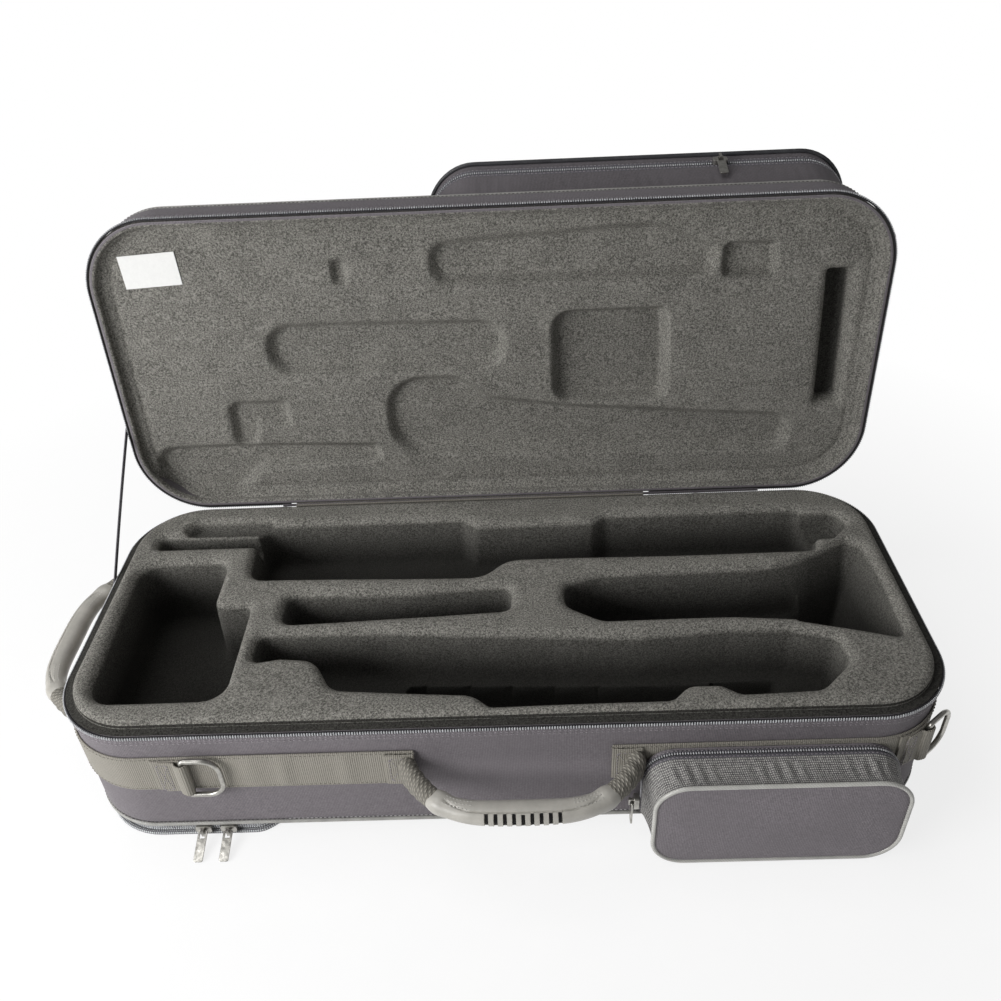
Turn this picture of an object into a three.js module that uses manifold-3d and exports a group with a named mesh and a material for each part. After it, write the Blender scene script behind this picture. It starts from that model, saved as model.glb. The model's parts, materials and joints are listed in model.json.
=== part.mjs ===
// A soft clarinet case with a zipped lid, standing open on its back hinge.
// Millimetres. +X runs along the length, +Y to the hinge at the back, +Z up.
// The origin is the middle of the underside. Base and lid share one outline.
import * as THREE from 'three';
import { mergeVertices } from 'three/addons/utils/BufferGeometryUtils.js';
import Module from 'manifold-3d';

const wasm = await Module();
wasm.setup();

// Body outline and shells
const caseLength = 730;
const caseWidth = 298;
const cornerRadius = 66;
const shellWall = 6;
const baseHeight = 117.7;
const baseEdgeRound = 8;
const lidHeight = 50;
const lidEdgeRound = 12;
const seatGap = 0.3;
const overrun = 10;

// Plush liners: the base liner stands above the rim as a lip that enters the lid
const lipHeight = 9;
const lipRound = 7;
const shellInnerRound = 5;
const lipClearance = 1;
const mouthRound = 6;
const mouthFlare = 2;
const wallInset = 2;
const floorInset = 3.4;
const floorRound = 5;
const dentRound = 3;

// Depths of the hollows below the top of the base liner
const accessoryBoxDepth = 72;
const rearRowDepth = 52;
const middleRowDepth = 62;
const bellDepth = 97;
const frontRowDepth = 50;
const frontTroughDepth = 78;
const rearNookDepth = 26;
const neckGrooveDepth = 26;
const neckShelfDepth = 12;

// Depths of the hollows in the lid liner
const shallowDentDepth = 5;
const squareDentDepth = 15;
const smallDentDepth = 11;
const slotDentDepth = 26;

// Zip tape, teeth and piping
const tapeThickness = 1.2;
const tapeHeight = 11;
const toothBeadHeight = 3.2;
const toothBeadReach = 2.2;
const pipingRadius = 1.8;

// Fabric hinge at the back
const hingeCordRadius = 1.6;
const hingeOut = 2.5;
const hingeTapeHeight = 20;
const hingeLeftShare = -0.58;
const hingeRightShare = 0.41;
const zipEndGap = 6;
const lidOpenAngle = THREE.MathUtils.degToRad(94);

// Storage under the base for the carrying straps
const strapPadDepth = 14;
const strapPanelThickness = 2.5;
const strapFrontInset = 3;
const strapInset = 22;
const strapPadEndInset = 8;
const strapPadRadius = 58;
const strapStepShare = -0.58;
const strapStepRun = 26;
const strapStepRadius = 20;

// Webbing band round the front and its rings
const webbingWidth = 40;
const webbingThickness = 1.6;
const webbingDrop = 26;
const ringWire = 2.4;
const ringReach = 33;
const ringHeight = 44;
const ringCornerRadius = 13;
const ringLoopLength = 26;
const ringLoopHeight = 36;
const ringClearance = 0.4;
const frontRingShare = -0.707;
const sideRingAngle = THREE.MathUtils.degToRad(-50);
const sideRingSwing = THREE.MathUtils.degToRad(2);
const lidRingWire = 1.5;
const lidRingReach = 13;
const lidRingHeight = 24;
const lidRingLoopLength = 10;
const lidRingLoopHeight = 16;
const lidRingCornerRadius = 6;
const lidRingAngle = THREE.MathUtils.degToRad(-16.7);

// Carrying handles
const handleSpan = 184;
const handleReach = 41;
const gripLength = 146;
const gripWidth = 20;
const gripThickness = 17;
const gripNeckShare = 0.75;
const gripSlotCount = 9;
const gripSlotWidth = 3.2;
const gripSlotPitch = 8.6;
const gripSlotDepth = 5;
const gripSlotHeightShare = 0.4;
const handleBowPower = 3.8;
const strapRootWidth = 7;
const strapRootThickness = 3.4;
const strapTipWidth = 15;
const strapTipThickness = 12;
const strapGapShare = 0.004;
const handlePivotOut = 6.5;
const handlePatchLength = 38;
const handlePatchHeight = 36;
const handlePatchThickness = 1.6;
const frontHandleShare = 0.045;
const sideHandleShare = 0.067;

// Accessory pocket on the front wall
const pocketWidth = 206;
const pocketHeight = 96;
const pocketDepth = 42;
const pocketRadius = 28;
const pocketFoot = 6;
const pocketCentreShare = 0.594;
const pocketSkin = 2.5;
const pocketZipReach = 13;

// Document pocket on the outside of the lid
const lidPocketWidth = 405;
const lidPocketLength = 230;
const lidPocketDepth = 68;
const lidPocketRise = 17;
const lidPocketRadius = 46;
const lidPocketCentreShare = 0.397;
const lidPocketFrontInset = 8;
const lidPocketZipShare = 0.66;

// Zip sliders and their pull tabs
const sliderLength = 14;
const sliderWidth = 8.4;
const sliderThickness = 4.4;
const sliderCornerRadius = 2.5;
const archLength = 7;
const archWidth = 2.4;
const archClear = 2.8;
const archBar = 1.5;
const tabLength = 27;
const tabWidth = 8;
const tabThickness = 1.6;
const tabEyeLength = 5.5;
const tabEyeWidth = 4.6;
const tabEndBar = 1.6;
const strapSliderShares = [-0.718, -0.658];
const strapSliderZ = 8.7;
const strapTabSwing = THREE.MathUtils.degToRad(74.5);
const accessorySliderZ = 42;
const lidPocketSliderShare = 0.61;
const lidPocketTabSwing = THREE.MathUtils.degToRad(-6);
const mainSliderShares = [-0.617, 0.562];

// Lid stay and the bare label
const stayWidth = 5;
const stayThickness = 1;
const stayShare = 0.134;
const stayLidReach = 101;
const stayTabSize = 13;
const stayTabThickness = 2.2;
const labelWidth = 53;
const labelHeight = 31;
const labelThickness = 0.8;
const labelTurn = THREE.MathUtils.degToRad(-3);
const labelShareX = -0.846;
const labelReach = 47.5;

// A fillet takes at most this share of the half edge beside it
const filletShare = 0.96;

// Facets of the round stretches
const quarterSteps = 7;
const hollowQuarterSteps = 4;
const edgeSteps = 3;
const wireSides = 8;
const cordSides = 6;
const loopSides = 12;
const ringCornerSteps = 4;
const handleSides = 12;
const gripStations = 20;
const strapStations = 5;
const slopeStep = 0.001;

// Sizes worked out from the ones above
const halfLength = caseLength / 2;
const halfWidth = caseWidth / 2;
const shellFoot = strapPadDepth + seatGap;
const rimZ = shellFoot + baseHeight;
const lipZ = rimZ + lipHeight;
const hingeY = halfWidth + hingeOut;
const hingeZ = rimZ + seatGap;
const lidRimZ = rimZ + 2 * seatGap;
const lidTopZ = lidRimZ + lidHeight;
const linerInset = shellWall + seatGap;
const webbingTop = rimZ - webbingDrop;
const webbingMiddle = webbingTop - webbingWidth / 2;
const webbingOuter = seatGap + webbingThickness;

const paint = {
  shell: new THREE.MeshStandardMaterial({ color: 0x2a2730, roughness: 0.85, metalness: 0 }),
  plush: new THREE.MeshStandardMaterial({ color: 0x35332f, roughness: 1, metalness: 0 }),
  webbing: new THREE.MeshStandardMaterial({ color: 0x4a4842, roughness: 0.9, metalness: 0 }),
  zip: new THREE.MeshStandardMaterial({ color: 0x24232a, roughness: 0.7, metalness: 0.1 }),
  piping: new THREE.MeshStandardMaterial({ color: 0x77777a, roughness: 0.5, metalness: 0 }),
  grip: new THREE.MeshStandardMaterial({ color: 0x3b3b3b, roughness: 0.45, metalness: 0 }),
  metal: new THREE.MeshStandardMaterial({ color: 0x9a9a9a, roughness: 0.35, metalness: 0.9 }),
  label: new THREE.MeshStandardMaterial({ color: 0xf2f2ee, roughness: 0.6, metalness: 0 }),
};

// Plan outlines. A list of [x, y, radius] corners, counter-clockwise, becomes
// points with each corner turned into an arc.
function roundedOutline(corners, steps = quarterSteps) {
  const points = [];
  corners.forEach(([x, y, radius], i) => {
    const here = new THREE.Vector2(x, y);
    const before = corners.at(i - 1);
    const after = corners[(i + 1) % corners.length];
    const back = new THREE.Vector2(before[0], before[1]).sub(here).normalize();
    const ahead = new THREE.Vector2(after[0], after[1]).sub(here).normalize();
    const opening = Math.acos(THREE.MathUtils.clamp(back.dot(ahead), -1, 1));
    const edges = [before, after].map(([ex, ey]) => Math.hypot(ex - x, ey - y));
    const run = Math.min(radius / Math.tan(opening / 2), (Math.min(...edges) * filletShare) / 2);
    const fitted = run * Math.tan(opening / 2);
    const start = here.clone().addScaledVector(back, run);
    const end = here.clone().addScaledVector(ahead, run);
    const middle = back.clone().add(ahead).normalize();
    const centre = here.clone().addScaledVector(middle, fitted / Math.sin(opening / 2));
    const first = start.clone().sub(centre);
    const turn = Math.PI - opening;
    const left = back.cross(ahead) < 0 ? 1 : -1;
    const count = Math.max(2, Math.round((steps * turn) / (Math.PI / 2)));
    for (let k = 0; k < count; k += 1) {
      const arm = first.clone().rotateAround(new THREE.Vector2(), (left * turn * k) / count);
      points.push(centre.clone().add(arm));
    }
    points.push(end);
  });
  return points;
}

function rectangle(left, right, front, back, radius, steps = quarterSteps) {
  return roundedOutline([
    [left, front, radius],
    [right, front, radius],
    [right, back, radius],
    [left, back, radius],
  ], steps);
}

function caseOutline(inset) {
  const x = halfLength - inset;
  const y = halfWidth - inset;
  return rectangle(-x, x, -y, y, cornerRadius - inset);
}

// Moves every point of an outline outwards by a distance.
function grow(points, distance, closed = true) {
  const last = points.length - 1;
  return points.map((point, i) => {
    const before = closed || i > 0 ? points.at(i - 1) : null;
    const after = closed || i < last ? points[(i + 1) % points.length] : null;
    const inward = before ? point.clone().sub(before) : after.clone().sub(point);
    const onward = after ? after.clone().sub(point) : inward.clone();
    const normalA = new THREE.Vector2(inward.y, -inward.x).normalize();
    const normalB = new THREE.Vector2(onward.y, -onward.x).normalize();
    const mitre = normalA.clone().add(normalB).divideScalar(1 + normalA.dot(normalB));
    return point.clone().addScaledVector(mitre, distance);
  });
}

function meshFrom(positions, index) {
  const geometry = new THREE.BufferGeometry();
  geometry.setAttribute('position', new THREE.Float32BufferAttribute(positions, 3));
  geometry.setIndex(index);
  return geometry;
}

// Skin through a pile of outlines with equal point counts, closed at both ends.
function stack(layers) {
  const count = layers[0].points.length;
  const positions = layers.flatMap(({ points, z }) => points.flatMap((p) => [p.x, p.y, z]));
  const index = [];
  for (let layer = 0; layer < layers.length - 1; layer += 1) {
    for (let i = 0; i < count; i += 1) {
      const a = layer * count + i;
      const b = layer * count + ((i + 1) % count);
      index.push(a, b, b + count, a, b + count, a + count);
    }
  }
  const top = (layers.length - 1) * count;
  const lid = THREE.ShapeUtils.triangulateShape(layers.at(-1).points, []);
  const floor = THREE.ShapeUtils.triangulateShape(layers[0].points, []);
  floor.forEach(([a, b, c]) => index.push(a, c, b));
  lid.forEach(([a, b, c]) => index.push(top + a, top + b, top + c));
  return meshFrom(positions, index);
}

function plate(points, bottom, top) {
  return stack([{ points, z: bottom }, { points, z: top }]);
}

// A skin through one ring of points for each corner of a section, shut at its
// ends when the rings are open. The flat section only says how the ends close.
function skin(rings, section, closed) {
  const sides = section.length;
  const count = rings[0].points.length;
  const positions = [];
  for (let i = 0; i < count; i += 1) {
    rings.forEach(({ points, z }) => positions.push(points[i].x, points[i].y, z));
  }
  const index = [];
  const spans = closed ? count : count - 1;
  for (let i = 0; i < spans; i += 1) {
    const next = ((i + 1) % count) * sides;
    for (let j = 0; j < sides; j += 1) {
      const up = (j + 1) % sides;
      index.push(i * sides + j, next + j, next + up);
      index.push(i * sides + j, next + up, i * sides + up);
    }
  }
  if (!closed) {
    const flat = section.map(([out, z]) => new THREE.Vector2(out, z));
    const end = (count - 1) * sides;
    THREE.ShapeUtils.triangulateShape(flat, []).forEach(([a, b, c]) => {
      index.push(a, b, c);
      index.push(end + a, end + c, end + b);
    });
  }
  return meshFrom(positions, index);
}

// A section of [outward, z] points carried along an outline.
function carry(points, section, closed = true) {
  const rings = section.map(([out, z]) => ({ points: grow(points, out, closed), z }));
  return skin(rings, section, closed);
}

// A wall of even thickness between a lower and an upper outline.
function leaningWall(lower, upper, thickness, bottom, top) {
  const rings = [
    { points: grow(lower, -thickness, false), z: bottom },
    { points: lower, z: bottom },
    { points: upper, z: top },
    { points: grow(upper, -thickness, false), z: top },
  ];
  return skin(rings, boxSection(-thickness, 0, bottom, top), false);
}

function roundSection(out, z, radius, sides) {
  return Array.from({ length: sides }, (_, k) => {
    const angle = (2 * Math.PI * (k + 1 / 2)) / sides;
    return [out + radius * Math.cos(angle), z + radius * Math.sin(angle)];
  });
}

function boxSection(inner, outer, bottom, top) {
  return [[inner, bottom], [outer, bottom], [outer, top], [inner, top]];
}

function block(left, right, front, back, bottom, top) {
  const shape = new THREE.BoxGeometry(right - left, back - front, top - bottom);
  return shape.translate((left + right) / 2, (front + back) / 2, (bottom + top) / 2);
}

function solid(geometry) {
  const plain = geometry.clone();
  plain.deleteAttribute('normal');
  plain.deleteAttribute('uv');
  const merged = mergeVertices(plain);
  return new wasm.Manifold(new wasm.Mesh({
    numProp: 3,
    vertProperties: new Float32Array(merged.attributes.position.array),
    triVerts: new Uint32Array(merged.index.array),
  }));
}

function shapeOf(body) {
  const { vertProperties, triVerts } = body.getMesh();
  return meshFrom(Array.from(vertProperties), Array.from(triVerts));
}

function cut(geometry, cutters) {
  return shapeOf(cutters.reduce((body, cutter) => body.subtract(solid(cutter)), solid(geometry)));
}

function join(geometries) {
  return shapeOf(geometries.slice(1).reduce((body, other) => body.add(solid(other)), solid(geometries[0])));
}

// Points of an outline from first to last where the test holds, walked in order.
function stretchOf(points, test) {
  const start = points.findIndex((p, i) => test(p) && !test(points.at(i - 1)));
  const turned = [...points.slice(start), ...points.slice(0, start)];
  const stop = turned.findIndex((p) => !test(p));
  return turned.slice(0, stop);
}

// An open run of the case outline from the back left, round the front, to the
// back right, ending at the two given x places on the back wall.
function frontRun(inset, leftX, rightX) {
  const y = halfWidth - inset;
  const run = stretchOf(caseOutline(inset), (p) => p.y < y - seatGap);
  const left = [new THREE.Vector2(leftX, y), new THREE.Vector2(-halfLength + cornerRadius, y)];
  const right = [new THREE.Vector2(halfLength - cornerRadius, y), new THREE.Vector2(rightX, y)];
  return [...left, ...run, ...right];
}

const clarinetCase = new THREE.Group();

function addPiece(parent, name, geometry, material) {
  geometry.computeVertexNormals();
  const mesh = new THREE.Mesh(geometry, material);
  mesh.name = name;
  parent.add(mesh);
  return mesh;
}

// A frame on a wall: x along the wall, y up, z outwards.
function wallFrame(parent, x, y, turn) {
  const post = new THREE.Group();
  post.position.set(x, y, 0);
  post.rotation.z = turn;
  const frame = new THREE.Group();
  frame.rotation.x = Math.PI / 2;
  post.add(frame);
  parent.add(post);
  return frame;
}

const frontWall = wallFrame(clarinetCase, 0, -halfWidth, 0);
const leftWall = wallFrame(clarinetCase, -halfLength, 0, -Math.PI / 2);

// The lid is drawn shut and turned back about its hinge.
const lidSwing = new THREE.Group();
lidSwing.position.set(0, hingeY, hingeZ);
lidSwing.rotation.x = -lidOpenAngle;
clarinetCase.add(lidSwing);
const lid = new THREE.Group();
lid.position.set(0, -hingeY, -hingeZ);
lidSwing.add(lid);

// Shells
function roundedShellLayers(foot, top, inset, edgeRound, upwards) {
  const layers = [];
  for (let k = 0; k <= edgeSteps; k += 1) {
    const angle = (Math.PI / 2) * (k / edgeSteps);
    const shrink = edgeRound * (1 - Math.sin(angle));
    layers.push({ points: caseOutline(inset + shrink), z: edgeRound * (1 - Math.cos(angle)) });
  }
  if (upwards) {
    layers.forEach((layer) => { layer.z += foot; });
    layers.push({ points: caseOutline(inset), z: top });
    return layers;
  }
  layers.forEach((layer) => { layer.z = top - layer.z; });
  layers.reverse();
  layers.unshift({ points: caseOutline(inset), z: foot });
  return layers;
}

const linerFootRound = shellInnerRound - seatGap;
const baseFloorZ = shellFoot + shellWall;
const lidCeilingZ = lidTopZ - shellWall;

addPiece(clarinetCase, 'base_shell', cut(
  stack(roundedShellLayers(shellFoot, rimZ, 0, baseEdgeRound, true)),
  [stack(roundedShellLayers(baseFloorZ, rimZ + overrun, shellWall, shellInnerRound, true))],
), paint.shell);

addPiece(lid, 'lid_shell', cut(
  stack(roundedShellLayers(lidRimZ, lidTopZ, 0, lidEdgeRound, false)),
  [stack(roundedShellLayers(lidRimZ - overrun, lidCeilingZ, shellWall, shellInnerRound, false))],
), paint.shell);

// A hollow with rolled mouth and rounded floor. Shares are [x, y, radius] of the
// half length, half width and half width.
function placed(shares) {
  return shares.map(([x, y, r]) => [x * halfLength, y * halfWidth, r * halfWidth]);
}

function hollow(outline, depth) {
  const floor = lipZ - depth;
  const wall = grow(outline, -wallInset);
  const brim = grow(outline, mouthFlare);
  return stack([
    { points: grow(outline, -floorInset), z: floor },
    { points: wall, z: floor + floorRound },
    { points: wall, z: lipZ - mouthRound },
    { points: outline, z: lipZ - mouthRound / 3 },
    { points: brim, z: lipZ },
    { points: brim, z: lipZ + overrun },
  ]);
}

// A lower floor inside a hollow, without a rolled mouth of its own.
function innerHollow(outline, depth, top) {
  const floor = lipZ - depth;
  return stack([
    { points: grow(outline, -floorRound / 2), z: floor },
    { points: outline, z: floor + floorRound },
    { points: outline, z: top },
  ]);
}

const accessoryBoxShares = [
  [-0.92, -0.79, 0.13], [-0.62, -0.79, 0.12], [-0.62, -0.04, 0.05],
  [-0.715, -0.04, 0.05], [-0.715, 0.38, 0.08], [-0.945, 0.38, 0.13],
];
const neckGrooveShares = [
  [-0.925, 0.52, 0.05], [-0.62, 0.52, 0.05], [-0.62, 0.65, 0.05], [-0.925, 0.65, 0.05],
];
const neckShelfShares = [
  [-0.87, 0.66, 0.05], [-0.62, 0.66, 0.05], [-0.62, 0.8, 0.05], [-0.84, 0.8, 0.07],
];
const rearRowShares = [
  [-0.645, 0.19, 0.11], [-0.04, 0.15, 0.1], [0.02, 0.31, 0.09], [0.83, 0.3, 0.1],
  [0.83, 0.74, 0.1], [0.29, 0.74, 0.05], [0.25, 0.67, 0.05], [-0.06, 0.67, 0.05],
  [-0.1, 0.75, 0.05], [-0.66, 0.75, 0.1],
];
const rearNookShares = [
  [0.8, 0.42, 0.05], [0.875, 0.42, 0.06], [0.93, 0.56, 0.05], [0.91, 0.69, 0.08], [0.8, 0.71, 0.05],
];
const middleRowShares = [
  [-0.535, -0.22, 0.08], [-0.16, -0.19, 0.2], [0.03, -0.16, 0.07], [0.035, 0.05, 0.07],
  [-0.03, 0.06, 0.1], [-0.24, 0.02, 0.2], [-0.535, 0.04, 0.08],
];
const bellRowShares = [
  [0.16, -0.13, 0.12], [0.25, -0.27, 0.14], [0.56, -0.27, 0.3], [0.8, -0.32, 0.1],
  [0.8, 0.2, 0.1], [0.64, 0.15, 0.2], [0.25, 0.14, 0.13], [0.16, 0.06, 0.1],
];
const bellMouthShares = [
  [0.7, -0.31, 0.06], [0.83, -0.4, 0.12], [0.945, -0.49, 0.06], [0.95, 0, 0.2],
  [0.94, 0.33, 0.06], [0.905, 0.41, 0.05], [0.78, 0.24, 0.1], [0.7, 0.17, 0.06],
];
const bellFloorShare = 0.6;
const frontRowShares = [
  [-0.58, -0.53, 0.05], [-0.51, -0.5, 0.08], [-0.43, -0.52, 0.08], [-0.38, -0.75, 0.06],
  [-0.06, -0.81, 0.1], [-0.02, -0.9, 0.05], [0.38, -0.89, 0.05], [0.42, -0.79, 0.06],
  [0.49, -0.79, 0.06], [0.53, -0.86, 0.06], [0.71, -0.85, 0.1], [0.8, -0.64, 0.08],
  [0.785, -0.46, 0.07], [0.68, -0.38, 0.1], [0.54, -0.37, 0.1], [0.33, -0.41, 0.2],
  [0, -0.36, 0.3], [-0.27, -0.31, 0.3], [-0.58, -0.3, 0.07],
];
const frontTroughShares = [
  [-0.24, -0.77, 0.06], [-0.06, -0.79, 0.06], [-0.02, -0.88, 0.05], [0.38, -0.87, 0.05],
  [0.42, -0.77, 0.05], [0.49, -0.77, 0.05], [0.53, -0.84, 0.05], [0.64, -0.83, 0.07],
  [0.67, -0.66, 0.07], [0.66, -0.47, 0.07], [0.33, -0.49, 0.2], [-0.24, -0.43, 0.07],
];

function linerOutline(shares) {
  return roundedOutline(placed(shares), hollowQuarterSteps);
}

function bellHollow() {
  const mouth = linerOutline(bellMouthShares);
  const left = Math.min(...mouth.map((p) => p.x));
  const taper = (p) => new THREE.Vector2(left + (p.x - left) * bellFloorShare, p.y * bellFloorShare);
  const floor = mouth.map(taper);
  return stack([
    { points: grow(floor, -floorRound / 2), z: lipZ - bellDepth },
    { points: floor, z: lipZ - bellDepth + floorRound },
    { points: grow(mouth, -wallInset), z: lipZ - mouthRound },
    { points: mouth, z: lipZ - mouthRound / 3 },
    { points: grow(mouth, mouthFlare), z: lipZ },
    { points: grow(mouth, mouthFlare), z: lipZ + overrun },
  ]);
}

function lipLayers() {
  const layers = roundedShellLayers(baseFloorZ + seatGap, lipZ - lipRound, linerInset, linerFootRound, true);
  for (let k = 1; k <= edgeSteps; k += 1) {
    const angle = (Math.PI / 2) * (k / edgeSteps);
    const inset = linerInset + lipRound * (1 - Math.cos(angle));
    layers.push({ points: caseOutline(inset), z: lipZ - lipRound * (1 - Math.sin(angle)) });
  }
  return layers;
}

addPiece(clarinetCase, 'base_liner', cut(stack(lipLayers()), [
  hollow(linerOutline(accessoryBoxShares), accessoryBoxDepth),
  hollow(linerOutline(neckGrooveShares), neckGrooveDepth),
  hollow(linerOutline(neckShelfShares), neckShelfDepth),
  hollow(linerOutline(rearRowShares), rearRowDepth),
  hollow(linerOutline(rearNookShares), rearNookDepth),
  hollow(linerOutline(middleRowShares), middleRowDepth),
  hollow(linerOutline(bellRowShares), middleRowDepth),
  bellHollow(),
  hollow(linerOutline(frontRowShares), frontRowDepth),
  innerHollow(linerOutline(frontTroughShares), frontTroughDepth, lipZ - frontRowDepth + floorRound),
]), paint.plush);

// Lid liner: a cove round the edge clears the lip, and shallow hollows are
// pressed into the flat. Shares run along x and from the hinge to the front edge.
const lidFaceZ = lidRimZ + lipHeight + lipClearance;

function lipCutter() {
  const layers = [{ points: caseOutline(linerInset), z: lidRimZ - overrun }];
  for (let k = 0; k <= edgeSteps; k += 1) {
    const angle = (Math.PI / 2) * (k / edgeSteps);
    const inset = linerInset + lipRound * (1 - Math.cos(angle));
    layers.push({ points: caseOutline(inset), z: lidFaceZ - lipRound * (1 - Math.sin(angle)) });
  }
  return stack(layers);
}

function lidDent(shares, depth) {
  const corners = shares.map(([x, d, r]) => [x * halfLength, halfWidth - d * caseWidth, r * halfWidth]);
  const outline = roundedOutline(corners.reverse(), hollowQuarterSteps);
  return stack([
    { points: grow(outline, dentRound), z: lidFaceZ - overrun },
    { points: grow(outline, dentRound), z: lidFaceZ },
    { points: outline, z: lidFaceZ + dentRound },
    { points: grow(outline, -dentRound / 2), z: lidFaceZ + depth },
  ]);
}

const longDentShares = [[-0.585, 0.48, 0.13], [0.03, 0.48, 0.13], [0.03, 0.63, 0.13], [-0.585, 0.64, 0.13]];
const upperDentShares = [
  [-0.14, 0.765, 0.1], [0.56, 0.765, 0.06], [0.565, 0.84, 0.06], [0.41, 0.92, 0.1], [-0.14, 0.885, 0.1],
];
const squareDentShares = [[0.165, 0.35, 0.09], [0.46, 0.35, 0.07], [0.45, 0.65, 0.04], [0.165, 0.65, 0.09]];
const smallDentShares = [[0.59, 0.75, 0.04], [0.72, 0.75, 0.04], [0.715, 0.85, 0.03], [0.59, 0.85, 0.04]];
const slotDentShares = [[0.865, 0.3, 0.03], [0.935, 0.3, 0.03], [0.92, 0.76, 0.03], [0.85, 0.76, 0.03]];
const lowerDentShares = [
  [-0.285, 0.19, 0.2], [0.8, 0.14, 0.1], [0.8, 0.26, 0.1], [0.2, 0.32, 0.3],
  [-0.01, 0.36, 0.2], [-0.1, 0.44, 0.2], [-0.285, 0.44, 0.22],
];
const cornerDentShares = [
  [-0.95, 0.04, 0.12], [-0.74, 0.04, 0.14], [-0.66, 0.13, 0.1], [-0.33, 0.15, 0.03],
  [-0.33, 0.2, 0.03], [-0.7, 0.215, 0.2], [-0.95, 0.21, 0.12],
];
const hookDentShares = [
  [-0.72, 0.22, 0.05], [-0.67, 0.22, 0.03], [-0.65, 0.3, 0.03], [-0.565, 0.3, 0.03],
  [-0.565, 0.375, 0.04], [-0.72, 0.375, 0.07],
];

const lidLinerBody = stack(roundedShellLayers(
  lidFaceZ - lipRound / 2,
  lidCeilingZ - seatGap,
  linerInset,
  linerFootRound,
  false,
));

addPiece(lid, 'lid_liner', cut(lidLinerBody, [
  lipCutter(),
  lidDent(longDentShares, shallowDentDepth),
  lidDent(upperDentShares, shallowDentDepth),
  lidDent(squareDentShares, squareDentDepth),
  lidDent(smallDentShares, smallDentDepth),
  lidDent(slotDentShares, slotDentDepth),
  lidDent(lowerDentShares, shallowDentDepth),
  lidDent(cornerDentShares, shallowDentDepth),
  lidDent(hookDentShares, smallDentDepth),
]), paint.plush);

// Zip tapes on both rims: a flat tape with a raised row of teeth at its edge.
const tapeLeftX = hingeLeftShare * halfLength - zipEndGap;
const tapeRightX = hingeRightShare * halfLength + zipEndGap;
const tapeIn = seatGap;
const tapeOut = seatGap + tapeThickness;
const toothOut = seatGap + toothBeadReach;

addPiece(clarinetCase, 'base_zip_tape', carry(frontRun(0, tapeLeftX, tapeRightX), [
  [tapeIn, rimZ - tapeHeight], [tapeOut, rimZ - tapeHeight], [tapeOut, rimZ - toothBeadHeight],
  [toothOut, rimZ - toothBeadHeight], [toothOut, rimZ], [tapeIn, rimZ],
], false), paint.zip);

addPiece(lid, 'lid_zip_tape', carry(frontRun(0, tapeLeftX, tapeRightX), [
  [tapeIn, lidRimZ], [toothOut, lidRimZ], [toothOut, lidRimZ + toothBeadHeight],
  [tapeOut, lidRimZ + toothBeadHeight], [tapeOut, lidRimZ + tapeHeight], [tapeIn, lidRimZ + tapeHeight],
], false), paint.zip);

// Piping lies in the middle of each rounded edge.
function edgePiping(edgeRound, arcZ, direction) {
  const reach = (edgeRound + seatGap + pipingRadius) * Math.SQRT1_2;
  return roundSection(reach - edgeRound, arcZ + direction * reach, pipingRadius, cordSides);
}

addPiece(clarinetCase, 'base_piping', carry(
  caseOutline(0),
  edgePiping(baseEdgeRound, shellFoot + baseEdgeRound, -1),
), paint.piping);
addPiece(lid, 'lid_piping', carry(
  caseOutline(0),
  edgePiping(lidEdgeRound, lidTopZ - lidEdgeRound, 1),
), paint.piping);

// Fabric hinge: a cord on the axis and a strip sewn to each shell.
const hingeLeft = hingeLeftShare * halfLength;
const hingeRight = hingeRightShare * halfLength;
const hingeStripGap = hingeCordRadius + seatGap;
const hingeCord = new THREE.CylinderGeometry(
  hingeCordRadius,
  hingeCordRadius,
  hingeRight - hingeLeft,
  wireSides,
);
hingeCord.rotateZ(Math.PI / 2).translate((hingeLeft + hingeRight) / 2, hingeY, hingeZ);
addPiece(clarinetCase, 'hinge_cord', hingeCord, paint.piping);
addPiece(clarinetCase, 'hinge_tape_base', block(
  hingeLeft,
  hingeRight,
  halfWidth + tapeIn,
  halfWidth + tapeOut,
  rimZ - hingeTapeHeight,
  hingeZ - hingeStripGap,
), paint.webbing);
addPiece(lid, 'hinge_tape_lid', block(
  hingeLeft,
  hingeRight,
  halfWidth + tapeIn,
  halfWidth + tapeOut,
  hingeZ + hingeStripGap,
  lidRimZ + hingeTapeHeight,
), paint.webbing);

// Flat storage under the base for the carrying straps
const strapPadOutline = roundedOutline([
  [-halfLength + strapPadEndInset, -halfWidth + strapFrontInset, strapPadRadius],
  [strapStepShare * halfLength, -halfWidth + strapFrontInset, strapStepRadius],
  [strapStepShare * halfLength + strapStepRun, -halfWidth + strapInset, strapStepRadius],
  [halfLength - strapInset, -halfWidth + strapInset, strapPadRadius],
  [halfLength - strapInset, halfWidth - strapInset, strapPadRadius],
  [-halfLength + strapPadEndInset, halfWidth - strapInset, strapPadRadius],
]);
addPiece(clarinetCase, 'strap_pocket_panel', plate(strapPadOutline, 0, strapPanelThickness), paint.shell);
addPiece(clarinetCase, 'strap_pocket_gusset', plate(
  strapPadOutline,
  strapPanelThickness + seatGap,
  strapPadDepth,
), paint.shell);
addPiece(clarinetCase, 'strap_pocket_piping', carry(
  strapPadOutline,
  roundSection(seatGap + pipingRadius, strapPanelThickness, pipingRadius, cordSides),
), paint.piping);

// Webbing band round the left, front and right walls
const bandRun = stretchOf(caseOutline(0), (p) => p.y < halfWidth - cornerRadius + seatGap);
addPiece(clarinetCase, 'webbing_band', carry(
  bandRun,
  boxSection(seatGap, webbingOuter, webbingTop - webbingWidth, webbingTop),
  false,
), paint.webbing);

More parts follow.
